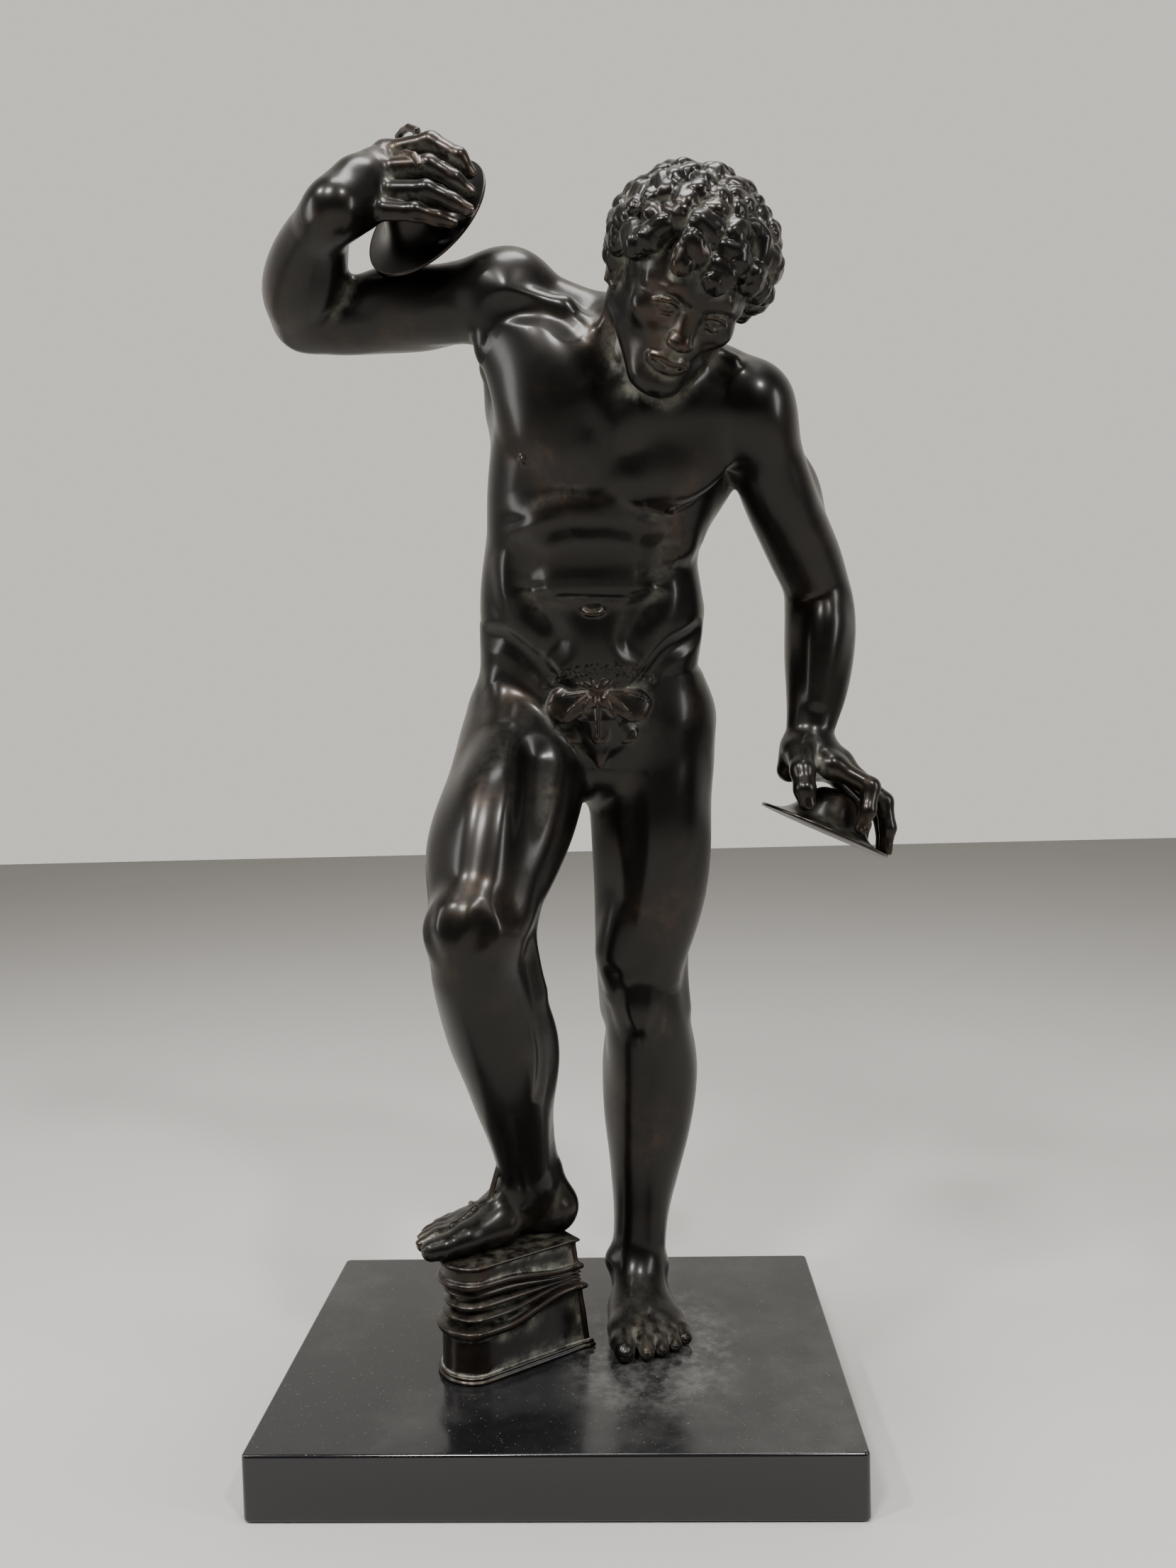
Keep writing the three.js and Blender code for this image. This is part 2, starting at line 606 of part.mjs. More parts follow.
function hands(add) {
  // right hand over the boss of its cymbal: rays of the palm, then fingers and thumb
  let wrist = [-112, -106, 772];
  add(cone([-116, -96, 772], [-100, -90, 794], 14.5, 14, { blend: 12 }));
  for (const [knuckle, r] of [
    [[-86, -68, 821], 8],
    [[-92, -78, 807], 9],
    [[-96, -82, 793], 9.5],
    [[-97, -88, 780], 9],
  ]) {
    add(cone(mix(wrist, knuckle, 0.15), knuckle, 11, r, { blend: 12 }));
  }
  add(cone([-106, -96, 778], [-84, -66, 800], 11, 9, { blend: 9 }));
  digit(
    add,
    [[-86, -68, 821], [-56, -78, 822], [-39, -82, 811], [-33, -80, 803]],
    [7.5, 6.4, 5.4, 4.2], 3,
  );
  digit(
    add,
    [[-92, -78, 807], [-56, -90, 803], [-41, -88, 795], [-33, -86, 789]],
    [7.2, 6.2, 5.3, 4.2], 3,
  );
  digit(
    add,
    [[-96, -82, 793], [-57, -96, 786], [-42, -93, 780], [-33, -93, 775]],
    [7, 5.8, 5, 4], 3,
  );
  digit(
    add,
    [[-97, -88, 780], [-64, -98, 773], [-51, -95, 770], [-43, -93, 768]],
    [6.6, 5.2, 4.5, 3.7], 3,
  );
  digit(
    add,
    [[-98, -72, 796], [-82, -50, 822], [-62, -54, 820], [-50, -58, 812]],
    [10, 7.5, 6, 4.8], 3,
  );
  // left hand hanging on its cymbal
  wrist = [174, -5, 448];
  for (const [knuckle, r] of [
    [[187, -24, 436], 9],
    [[194, -12, 438], 9.5],
    [[195, 3, 437], 9.5],
    [[190, 17, 434], 8.5],
  ]) {
    add(cone(mix(wrist, knuckle, 0.1), knuckle, 12, r, { blend: 9 }));
  }
  add(cone([168, -6, 446], [163, 0, 434], 11, 9, { blend: 9 }));
  add(cone([178, 6, 446], [180, 14, 434], 12, 9, { blend: 9 }));
  digit(
    add,
    [[187, -24, 436], [211, -30, 422], [208, -36, 407], [203, -38, 396]],
    [7.4, 6.3, 5.2, 4.2], 3,
  );
  digit(
    add,
    [[194, -12, 438], [223, -12, 411], [225, -15, 394], [223, -16, 381]],
    [7.4, 6.4, 5.4, 4.4], 3,
  );
  digit(add, [[195, 3, 437], [222, 6, 408], [226, 3, 392], [224, 1, 377]], [7.2, 6.2, 5.3, 4.3], 3);
  digit(
    add,
    [[190, 17, 434], [212, 23, 410], [216, 21, 394], [214, 19, 383]],
    [6.8, 5.6, 4.8, 3.9], 3,
  );
  digit(
    add,
    [[168, -16, 446], [167, -34, 434], [167, -42, 422], [168, -43, 414]],
    [10, 8, 7, 5.6], 3,
  );
}

function foot(add, frame, side) {
  // side is 1 for the left foot, -1 for the right; lengths in the foot frame are scaled by g
  const g = 0.93;
  const w = g * 1.08 * side;
  const p = (x, y, z) => frame.at(w * x, g * y, g * z);
  add(ball(p(0, 20, 16), [17 * g, 17 * g, 17 * g], { blend: 10 }));
  add(cone(p(0, 18, 12), p(5, -24, 10), 15 * g, 10.5 * g, { blend: 12 }));
  add(cone(p(-2, 0, 36), p(-8, -44, 14), 15 * g, 9.5 * g, { blend: 14 }));
  add(cone(p(4, 0, 30), p(14, -40, 11), 14 * g, 8.5 * g, { blend: 14 }));
  add(cone(p(9, 16, 11), p(23, -36, 9.5), 10.5 * g, 8 * g, { blend: 10 }));
  add(cone(p(-11, -26, 12), p(-11, -56, 11), 11.5 * g, 10.5 * g, { blend: 9 }));
  add(cone(p(2, -40, 12), p(19, -48, 9), 10 * g, 8 * g, { blend: 8 }));
  add(ball(p(-15, -1, 40), [7 * g, 7 * g, 7 * g], { blend: 8 }));
  add(ball(p(15, 3, 33), [7 * g, 7 * g, 7 * g], { blend: 8 }));
  add(cone(p(0, 22, 16), p(0, 17, 44), 10 * g, 7 * g, { blend: 9 }));
  for (const [a, b, c, r] of [
    [p(-12.5, -56, 11), p(-12.5, -73, 8.5), p(-11.5, -82, 8), [10 * g, 8.6 * g, 7.8 * g]],
    [p(1.5, -54, 11), p(2.5, -72, 10), p(3.5, -82, 6.5), [7 * g, 6.2 * g, 5.6 * g]],
    [p(10.5, -51, 10), p(12.5, -67, 9), p(14, -77, 6), [6.6 * g, 5.8 * g, 5.2 * g]],
    [p(18.5, -46, 9), p(21.5, -60, 8.5), p(23.5, -70, 5.6), [6.2 * g, 5.4 * g, 4.9 * g]],
    [p(25, -40, 8), p(29, -51, 7.5), p(31, -60, 5.4), [6 * g, 5.2 * g, 4.7 * g]],
  ]) {
    digit(add, [a, b, c], r, 2.2);
  }
}

function head(add) {
  // skull, forehead, middle face, mouth region, chin
  add(ball(skull.at(0, 2, 11), [40, 44, 36], { blend: 8, frame: skull }));
  add(ball(skull.at(0, -11, 9), [32, 32, 28], { blend: 8, frame: skull }));
  add(ball(skull.at(0, -12, -15), [30, 28, 33], { blend: 10, frame: skull }));
  add(ball(skull.at(0, -29, -33), [14, 12, 14], { blend: 9, frame: skull }));
  add(ball(skull.at(0, -36, -50), [9, 8.5, 7], { blend: 7, frame: skull }));
  for (const s of [-1, 1]) {
    // jaw, cheek bone, brow, eye hollow, eye, wing of the nose, ear
    add(cone(skull.at(s * 25, 3, -24), skull.at(s * 8, -28, -49), 10, 9, { blend: 12 }));
    add(ball(skull.at(s * 20, -28, -13), [11, 9, 9], { blend: 9, frame: skull }));
    add(cone(skull.at(s * 5, -41, 4), skull.at(s * 15, -39, 7), 4, 4, { blend: 5 }));
    add(cone(skull.at(s * 15, -39, 7), skull.at(s * 26, -30, 2), 4, 3, { blend: 5 }));
    add(ball(skull.at(s * 14, -46, -4.5), [9.5, 7, 5], { blend: 5, cut: true, frame: skull }));
    add(ball(skull.at(s * 14, -33, -4), [7.4, 7.4, 7.4], { blend: 1.5 }));
    add(ball(skull.at(s * 4.6, -43.5, -20.5), [3.4, 4.8, 3.4], { blend: 2.5, frame: skull }));
    add(ball(skull.at(s * 37, 5, -10), [4, 9, 12], { blend: 3, frame: skull }));
  }
  // nose, lips and the fold over the chin
  add(cone(skull.at(0, -39, 3), skull.at(0, -41.5, -16), 3.6, 5.6, { blend: 5 }));
  add(cone(skull.at(0, -41, -2), skull.at(0, -46.5, -18), 2.4, 3.2, { blend: 4 }));
  add(ball(skull.at(0, -47, -19.5), [4.2, 4.6, 3.9], { blend: 3, frame: skull }));
  add(
    cord(
      [
        skull.at(-10, -38, -33.6), skull.at(-5, -41.6, -32.4), skull.at(0, -43, -33),
        skull.at(5, -41.6, -32.4), skull.at(10, -38, -33.6),
      ],
      [0, 0, 1], 2.6, 0, -1, { blend: 2.5 },
    )
  );
  add(
    cord(
      [
        skull.at(-9, -38, -36.4), skull.at(-4, -41.2, -37.8), skull.at(0, -42.2, -38),
        skull.at(4, -41.2, -37.8), skull.at(9, -38, -36.4),
      ],
      [0, 0, 1], 2.8, 0, 0, { blend: 2.5 },
    )
  );
}

function leaf(add) {
  // lobed leaf over the groin: padding, two domed upper lobes, two lower ones, the long one, stalk
  const out = [0, -0.97, 0.25];
  add(ball([36, -14, 468], [20, 12, 20], { blend: 7 }));
  add(ball([20, -22, 485], [17, 6.5, 10], { blend: 1.5 }));
  add(ball([53, -19.5, 481], [18, 6.5, 10], { blend: 1.5 }));
  add(cone([31, -23, 474], [19, -19, 462], 10, 7, { blend: 1.5, flat: [out, 0.4] }));
  add(cone([40, -22, 474], [54, -17, 461], 10, 7, { blend: 1.5, flat: [out, 0.4] }));
  add(cone([35, -23, 472], [35, -13, 441], 17, 3, { blend: 2, flat: [out, 0.42] }));
  add(cone([36, -29, 487], [36, -27, 500], 2.4, 2, { blend: 1.5 }));
  add(cone([12, -28, 473], [20, -29, 476], 2.2, 1.2, { blend: 1.5, cut: true }));
  add(cone([63, -25, 468], [54, -27, 473], 2.4, 1.2, { blend: 1.5, cut: true }));
}
// Short locks in changing directions above a hairline that drops from brow to nape.
function hair(add) {
  const count = Math.floor((4 * Math.PI * 48 * 48) / (LOCK_SPACING * LOCK_SPACING * 0.86));
  const turn = Math.PI * (3 - Math.sqrt(5));
  for (let i = 0; i < count; i += 1) {
    const z = 1 - (2 * (i + 0.5 + 0.28 * Math.sin(i * 5.1))) / count;
    const r = Math.sqrt(1 - z * z);
    const angle = turn * i + (0.13 * Math.sin(i * 3.7)) / Math.max(r, 0.3);
    const around = [r * Math.cos(angle), r * Math.sin(angle), z];
    const spot = around.map((v, axis) => v * SCALP_RADII[axis] + SCALP_CENTRE[axis]);
    let hairline = -12 - (spot[1] - 6) * 0.95;
    if (spot[1] < 6) hairline = 18 - (spot[1] + 34) * 0.75;
    if (spot[1] < -34) hairline = 18;
    if (spot[2] >= hairline) {
      const outward = unit(around.map((v, axis) => v / SCALP_RADII[axis]));
      const way = [Math.cos(i * 2.1), Math.sin(i * 2.1), 0.6 * Math.sin(i * 1.3)];
      const flat = unit(minus(way, times(outward, dot(way, outward))));
      const half = 2.6 + 1.2 * Math.sin(i * 4.1);
      const start = minus(minus(spot, times(flat, half)), times(outward, 1.2));
      const end = plus(plus(spot, times(flat, half)), times(outward, 0.6));
      const radius = LOCK_RADIUS + 0.8 * Math.sin(i * 2.3);
      add(cone(skull.at(...start), skull.at(...end), radius, radius * 0.95, { blend: 0.9 }));
    }
  }
}

function smoothJoin(a, b, blend) {
  const h = Math.max(blend - Math.abs(a - b), 0) / blend;
  return Math.min(a, b) - h * h * blend * 0.25;
}

// Value of all forms at a point: joined smoothly in order, cut forms taken away.
function blended(forms, p) {
  let value = 60;
  for (const each of forms) {
    const d = each.distance(p);
    if (each.cut) value = -smoothJoin(-value, d, each.blend);
    else value = smoothJoin(value, d, each.blend);
  }
  return value;
}

// Grid values are filled only in blocks near the skin; the rest stays at plus or minus one block.
function sampleField(forms, low, high, cell) {
  const block = 6;
  const blocks = low.map((v, i) => Math.ceil((high[i] - v) / (cell * block)));
  const size = blocks.map((n) => n * block + 1);
  const values = new Float32Array(size[0] * size[1] * size[2]).fill(NaN);
  const index = (i, j, k) => (i * size[1] + j) * size[2] + k;
  const half = (cell * block * Math.sqrt(3)) / 2;
  for (let bi = 0; bi < blocks[0]; bi += 1) {
    for (let bj = 0; bj < blocks[1]; bj += 1) {
      for (let bk = 0; bk < blocks[2]; bk += 1) {
        const start = [bi * block, bj * block, bk * block];
        const centre = start.map((s, i) => low[i] + (s + block / 2) * cell);
        const near = forms.filter((each) => {
          const reach = each.reach + half + each.blend + 12;
          return Math.hypot(...minus(each.centre, centre)) < reach;
        });
        const middle = near.length ? blended(near, centre) : 60;
        const isClose = Math.abs(middle) < half * 1.4 + 4;
        for (let i = start[0]; i <= start[0] + block; i += 1) {
          for (let j = start[1]; j <= start[1] + block; j += 1) {
            for (let k = start[2]; k <= start[2] + block; k += 1) {
              const slot = index(i, j, k);
              if (!isClose && Number.isNaN(values[slot])) values[slot] = middle;
              if (isClose) {
                const p = [low[0] + i * cell, low[1] + j * cell, low[2] + k * cell];
                values[slot] = blended(near, p);
              }
            }
          }
        }
      }
    }
  }
  return { values, size, index };
}

const corners = [];
const edges = [];
for (let a = 0; a < 8; a += 1) {
  corners.push([(a >> 2) & 1, (a >> 1) & 1, a & 1]);
  for (const bit of [1, 2, 4]) if (!(a & bit)) edges.push([a, a | bit]);
}

// True when the corners of a cell that share a sign hang together along its edges.
function hangsTogether(signs, sign) {
  const members = corners.map((_, c) => c).filter((c) => signs[c] === sign);
  const reached = new Set(members.slice(0, 1));
  for (let pass = 0; pass < 7; pass += 1) {
    for (const [a, b] of edges) {
      if (signs[a] === sign && signs[b] === sign && (reached.has(a) || reached.has(b))) {
        reached.add(a).add(b);
      }
    }
  }
  return reached.size === members.length;
}

// Fills grid corners until no cell holds two sheets of skin, so that the mesh never pinches.
function filled({ values, size, index }) {
  const known = new Map();
  let isChanged = true;
  while (isChanged) {
    isChanged = false;
    for (let i = 0; i < size[0] - 1; i += 1) {
      for (let j = 0; j < size[1] - 1; j += 1) {
        for (let k = 0; k < size[2] - 1; k += 1) {
          const slots = corners.map(([x, y, z]) => index(i + x, j + y, k + z));
          const signs = slots.map((slot) => values[slot] < 0);
          const mask = signs.reduce((sum, isInside, c) => sum + (isInside ? 1 << c : 0), 0);
          if (!known.has(mask)) {
            known.set(mask, hangsTogether(signs, true) && hangsTogether(signs, false));
          }
          if (!known.get(mask)) {
            const outside = slots.filter((slot) => values[slot] >= 0);
            const nearest = outside.sort((a, b) => values[a] - values[b])[0];
            values[nearest] = -0.1;
            isChanged = true;
          }
        }
      }
    }
  }
  return { values, size, index };
}

// One vertex in each crossed cell, one quad round each crossed grid edge.
function skin(forms, low, high, cell) {
  const { values, size, index } = filled(sampleField(forms, low, high, cell));
  const vertexOf = new Map();
  const points = [];
  for (let i = 0; i < size[0] - 1; i += 1) {
    for (let j = 0; j < size[1] - 1; j += 1) {
      for (let k = 0; k < size[2] - 1; k += 1) {
        const v = corners.map(([x, y, z]) => values[index(i + x, j + y, k + z)]);
        const inside = v.filter((d) => d < 0).length;
        if (inside > 0 && inside < 8) {
          let sum = [0, 0, 0];
          let count = 0;
          for (const [a, b] of edges) {
            if (v[a] < 0 !== v[b] < 0) {
              sum = plus(sum, mix(corners[a], corners[b], v[a] / (v[a] - v[b])));
              count += 1;
            }
          }
          const [x, y, z] = times(sum, 1 / count);
          vertexOf.set(index(i, j, k), points.length);
          points.push([low[0] + (i + x) * cell, low[1] + (j + y) * cell, low[2] + (k + z) * cell]);
        }
      }
    }
  }
  const steps = [[1, 0, 0], [0, 1, 0], [0, 0, 1]];
  const faces = [];
  for (let i = 1; i < size[0] - 1; i += 1) {
    for (let j = 1; j < size[1] - 1; j += 1) {
      for (let k = 1; k < size[2] - 1; k += 1) {
        const here = values[index(i, j, k)] < 0;
        for (let axis = 0; axis < 3; axis += 1) {
          const [dx, dy, dz] = steps[axis];
          if (here !== values[index(i + dx, j + dy, k + dz)] < 0) {
            const [ux, uy, uz] = steps[(axis + 1) % 3];
            const [wx, wy, wz] = steps[(axis + 2) % 3];
            const quad = [
              vertexOf.get(index(i, j, k)),
              vertexOf.get(index(i - ux, j - uy, k - uz)),
              vertexOf.get(index(i - ux - wx, j - uy - wy, k - uz - wz)),
              vertexOf.get(index(i - wx, j - wy, k - wz)),
            ];
            if (!here) quad.reverse();
            faces.push([quad[0], quad[1], quad[2]], [quad[0], quad[2], quad[3]]);
          }
        }
      }
    }
  }
  return { points, faces };
}

// Binary heap of candidate edges, cheapest first.
class Queue {
  constructor() {
    this.items = [];
  }

  push(item) {
    const { items } = this;
    let i = items.push(item) - 1;
    while (i > 0) {
      const parent = (i - 1) >> 1;
      if (items[parent].cost <= items[i].cost) break;
      [items[parent], items[i]] = [items[i], items[parent]];
      i = parent;
    }
  }

  pop() {
    const { items } = this;
    const top = items[0];
    const last = items.pop();
    if (items.length) {
      items[0] = last;
      let i = 0;
      for (;;) {
        let small = i;
        for (const child of [2 * i + 1, 2 * i + 2]) {
          if (child < items.length && items[child].cost < items[small].cost) small = child;
        }
        if (small === i) break;
        [items[small], items[i]] = [items[i], items[small]];
        i = small;
      }
    }
    return top;
  }
}

// Squared distance to the planes round a vertex, kept as ten sums.
function errorAt(q, [x, y, z]) {
  const square = q[0] * x * x + q[4] * y * y + q[7] * z * z;
  const mixed = q[1] * x * y + q[2] * x * z + q[5] * y * z;
  return square + 2 * (mixed + q[3] * x + q[6] * y + q[8] * z) + q[9];
}

function lowestPoint(q, a, b) {
  const matrix = new THREE.Matrix3().set(q[0], q[1], q[2], q[1], q[4], q[5], q[2], q[5], q[7]);
  const trace = q[0] + q[4] + q[7];
  const middle = mix(a, b, 0.5);
  const choices = [a, b, middle];
  if (Math.abs(matrix.determinant()) > 1e-4 * trace ** 3) {
    const best = new THREE.Vector3(-q[3], -q[6], -q[8]).applyMatrix3(matrix.invert()).toArray();
    if (Math.hypot(...minus(best, middle)) < 1.5 * Math.hypot(...minus(a, b))) return best;
  }
  return choices.sort((m, n) => errorAt(q, m) - errorAt(q, n))[0];
}

// Collapses the edges that change the shape least, down to a triangle count or up to a cost.
function thinned({ points, faces }, target, limit = Infinity) {
  const around = points.map(() => new Set());
  const quadrics = points.map(() => new Array(10).fill(0));
  const alive = new Uint8Array(faces.length).fill(1);
  const stamp = new Uint32Array(points.length);
  faces.forEach((face, f) => {
    const [a, b, c] = face.map((v) => points[v]);
    const n = cross(minus(b, a), minus(c, a));
    const area = Math.hypot(...n) / 2;
    const [x, y, z] = area > 1e-12 ? unit(n) : [0, 0, 0];
    const d = -dot([x, y, z], a);
    const plane = [x * x, x * y, x * z, x * d, y * y, y * z, y * d, z * z, z * d, d * d];
    for (const v of face) {
      around[v].add(f);
      plane.forEach((value, i) => {
        quadrics[v][i] += value * area;
      });
    }
  });
  const neighbours = (v) => {
    const found = new Set();
    for (const f of around[v]) for (const w of faces[f]) if (w !== v) found.add(w);
    return found;
  };
  const queue = new Queue();
  const offer = (a, b) => {
    const q = quadrics[a].map((value, i) => value + quadrics[b][i]);
    const spot = lowestPoint(q, points[a], points[b]);
    const span = Math.hypot(...minus(points[a], points[b]));
    const cost = errorAt(q, spot) + 2e-4 * span ** 3;
    queue.push({ cost, a, b, spot, stamps: stamp[a] + stamp[b] });
  };
  const turnsOver = (v, other, spot) => {
    for (const f of around[v]) {
      if (!faces[f].includes(other)) {
        const old = faces[f].map((w) => points[w]);
        const next = faces[f].map((w) => (w === v ? spot : points[w]));
        const n0 = cross(minus(old[1], old[0]), minus(old[2], old[0]));
        const n1 = cross(minus(next[1], next[0]), minus(next[2], next[0]));
        const size = Math.hypot(...n0) * Math.hypot(...n1);
        const longest = Math.max(...next.map((p, i) => Math.hypot(...minus(p, next[(i + 1) % 3]))));
        const isThin = Math.hypot(...n1) < 0.06 * longest ** 2;
        if (Math.hypot(...n0) > 0.02 && (dot(n0, n1) < 0.3 * size || isThin)) return true;
      }
    }
    return false;
  };
  points.forEach((_, v) => {
    for (const w of neighbours(v)) if (w > v) offer(v, w);
  });
  let left = faces.length;
  while (left > target && queue.items.length) {
    const { a, b, spot, stamps, cost } = queue.pop();
    if (cost > limit) break;
    if (around[a].size && around[b].size && stamps === stamp[a] + stamp[b]) {
      const aroundB = neighbours(b);
      const shared = [...neighbours(a)].filter((v) => aroundB.has(v));
      const isOpen = shared.length === 2 && !turnsOver(a, b, spot) && !turnsOver(b, a, spot);
      if (isOpen) {
        for (const f of [...around[b]]) {
          if (faces[f].includes(a)) {
            for (const v of faces[f]) around[v].delete(f);
            alive[f] = 0;
            left -= 1;
          } else {
            faces[f] = faces[f].map((v) => (v === b ? a : v));
            around[a].add(f);
          }
        }
        around[b].clear();
        points[a] = spot;
        quadrics[a] = quadrics[a].map((value, i) => value + quadrics[b][i]);
        stamp[a] += 1;
        for (const v of neighbours(a)) {
          stamp[v] += 1;
        }
        for (const v of neighbours(a)) {
          offer(a, v);
          for (const w of neighbours(v)) if (w !== a) offer(v, w);
        }
      }
    }
  }
  const kept = faces.filter((_, f) => alive[f]);
  const slot = new Map();
  const packed = [];
  const remapped = kept.map((face) => face.map((v) => {
    if (!slot.has(v)) {
      slot.set(v, packed.length);
      packed.push(points[v]);
    }
    return slot.get(v);
  }));
  return { points: packed, faces: remapped };
}

function meshOf(solid) {
  const { vertProperties, triVerts } = solid.getMesh();
  const points = [];
  const faces = [];
  for (let i = 0; i < vertProperties.length; i += 3) {
    points.push([...vertProperties.slice(i, i + 3)]);
  }
  for (let i = 0; i < triVerts.length; i += 3) faces.push([...triVerts.slice(i, i + 3)]);
  return { points, faces };
}

function solidFrom({ points, faces }) {
  return new Manifold(new ManifoldMesh({
    numProp: 3,
    vertProperties: new Float32Array(points.flat()),
    triVerts: new Uint32Array(faces.flat()),
  }));
}

// Welds equal corners of a three.js geometry and makes a solid of it.
function solidOf(geometry) {
  const position = geometry.getAttribute('position');
  const order = geometry.index ? geometry.index.array : [...Array(position.count).keys()];
  const known = new Map();
  const points = [];
  const slots = [...order].map((i) => {
    const p = [position.getX(i), position.getY(i), position.getZ(i)];
    const key = p.map((v) => Math.round(v * 1e4)).join();
    if (!known.has(key)) {
      known.set(key, points.length);
      points.push(p);
    }
    return known.get(key);
  });
  const faces = [];
  for (let i = 0; i < slots.length; i += 3) {
    const [a, b, c] = slots.slice(i, i + 3);
    if (a !== b && b !== c && c !== a) faces.push([a, b, c]);
  }
  return solidFrom({ points, faces });
}

function geometryOf({ points, faces }) {
  const geometry = new THREE.BufferGeometry();
  const corners = faces.flatMap((face) => face.flatMap((v) => points[v]));
  geometry.setAttribute('position', new THREE.Float32BufferAttribute(corners, 3));
  geometry.computeVertexNormals();
  return geometry;
}

// Turns a geometry built round +Z so that its axis points along a direction and moves it.
function placed(geometry, axis, centre) {
  const turn = new THREE.Quaternion().setFromUnitVectors(
    new THREE.Vector3(0, 0, 1),
    new THREE.Vector3(...unit(axis)),
  );
  return geometry.applyQuaternion(turn).translate(...centre);
}

// Height of the cymbal's outer face over its rim plane: flat flange, flared neck, domed boss.
function bellHeight(radius) {
  const flare = BOSS_HEIGHT / (1 + (radius / 22.5) ** 6);
  const flange = 2.2 * (1 - radius / CYMBAL_RADIUS);
  return flare + flange - 0.0065 * Math.min(radius, 18) ** 2;
}

// Lathe profile runs round the section: up the outer face, back down the inner face.
function cymbalGeometry() {
  const steps = 9;
  const outer = [];
  const inner = [];
  for (let i = 0; i <= steps; i += 1) {
    const radius = CYMBAL_RADIUS * (i / steps) ** 0.85;
    const height = bellHeight(radius);
    const slope = (bellHeight(radius + 0.05) - bellHeight(Math.max(radius - 0.05, 0))) / 0.1;
    const length = Math.hypot(1, slope);
    const inward = i === 0 ? 0 : radius - (-slope / length) * CYMBAL_WALL;
    outer.push(new THREE.Vector2(radius, height + CYMBAL_WALL * 0.4));
    inner.push(new THREE.Vector2(Math.max(inward, 0), height + CYMBAL_WALL * 0.4 - CYMBAL_WALL / length));
  }
  inner[steps].x = CYMBAL_RADIUS;
  const profile = [...inner, ...outer.reverse()];
  const geometry = new THREE.LatheGeometry(profile, 24);
  return geometry.rotateX(Math.PI / 2);
}

// Solid plug over the outer face of a cymbal, used to hold the hand clear of it.
function cymbalClearance() {
  const steps = 14;
  const profile = [new THREE.Vector2(0, -CYMBAL_WALL - GAP)];
  profile.push(new THREE.Vector2(CYMBAL_RADIUS + GAP, -CYMBAL_WALL - GAP));
  for (let i = steps; i >= 0; i -= 1) {
    const radius = (CYMBAL_RADIUS * i) / steps;
    profile.push(new THREE.Vector2(radius + (i ? GAP : 0), bellHeight(radius) + CYMBAL_WALL * 0.4 + 0.55));
  }
  const geometry = new THREE.LatheGeometry(profile, 24);
  return geometry.rotateX(Math.PI / 2);
}

// Plinth: extruded rounded rectangle with broken top and bottom edges.
function plinthGeometry() {
  const [x, y, c] = [PLINTH_WIDTH / 2 - PLINTH_EDGE, PLINTH_DEPTH / 2 - PLINTH_EDGE, PLINTH_CORNER];
  const shape = new THREE.Shape();
  shape.moveTo(-x + c, -y);
  shape.lineTo(x - c, -y);
  shape.absarc(x - c, -y + c, c, -Math.PI / 2, 0, false);
  shape.absarc(x - c, y - c, c, 0, Math.PI / 2, false);
  shape.absarc(-x + c, y - c, c, Math.PI / 2, Math.PI, false);
  shape.absarc(-x + c, -y + c, c, Math.PI, 1.5 * Math.PI, false);
  const geometry = new THREE.ExtrudeGeometry(shape, {
    depth: PLINTH_HEIGHT - 2 * PLINTH_EDGE,
    bevelThickness: PLINTH_EDGE,
    bevelSize: PLINTH_EDGE,
    bevelSegments: 1,
    curveSegments: 3,
  });
  return geometry.translate(0, 0, PLINTH_EDGE);
}

// Foot clapper. A tall outline with a round toe end and a square heel end is stacked in levels;
// at each level the front and the heel have their own height and the outline its own swelling.
const CLAPPER = {
  heel: [4, 10],
  heading: THREE.MathUtils.degToRad(216.5),
  length: 98,
  width: 44,
  levels: [
    { front: 0.3, heel: 0.3, out: 2, lean: 0 },
    { front: 3.5, heel: 3.5, out: 2, lean: 0 },
    { front: 5.5, heel: 5.5, out: 0, lean: 0.5 },
    { front: 29, heel: 41, out: -0.4, lean: 5 },
    { front: 30.5, heel: 42.5, out: 2.4, lean: 5 },
    { front: 35, heel: 46, out: 2.4, lean: 5.5 },
    { front: 37, heel: 47, out: -1.5, fold: -5, lean: 5.5 },
    { front: 39.5, heel: 48, out: -0.5, fold: -1, lean: 5.5 },
    { front: 42.5, heel: 48.8, out: -0.5, fold: -1, lean: 5.5 },
    { front: 45, heel: 49.6, out: -1.5, fold: -6, lean: 6 },
    { front: 47.5, heel: 50.4, out: -0.5, fold: -2, lean: 6 },
    { front: 50.5, heel: 51.2, out: -0.5, fold: -2, lean: 6 },
    { front: 53, heel: 52, out: -1.5, fold: -6, lean: 6 },
    { front: 55.5, heel: 53, out: 0, fold: -2, lean: 6 },
    { front: 58.5, heel: 54, out: 0, fold: -2, lean: 6 },
    { front: 60.5, heel: 55, out: -1, fold: -3, lean: 6.5 },
    { front: 61.5, heel: 56, out: 1.4, lean: 6.5 },
    { front: 66, heel: 60, out: 1.4, lean: 7 },
    { front: 67, heel: 61, out: -0.6, lean: 7 },
    { front: 74.5, heel: 74.5, out: -0.4, lean: 9 },
    { front: 75.5, heel: 75.5, out: 1.6, lean: 9 },
    { front: TREAD_HEIGHT - PLINTH_HEIGHT - GAP, heel: TREAD_HEIGHT - PLINTH_HEIGHT - GAP, out: 1, lean: 9 },
  ],
};

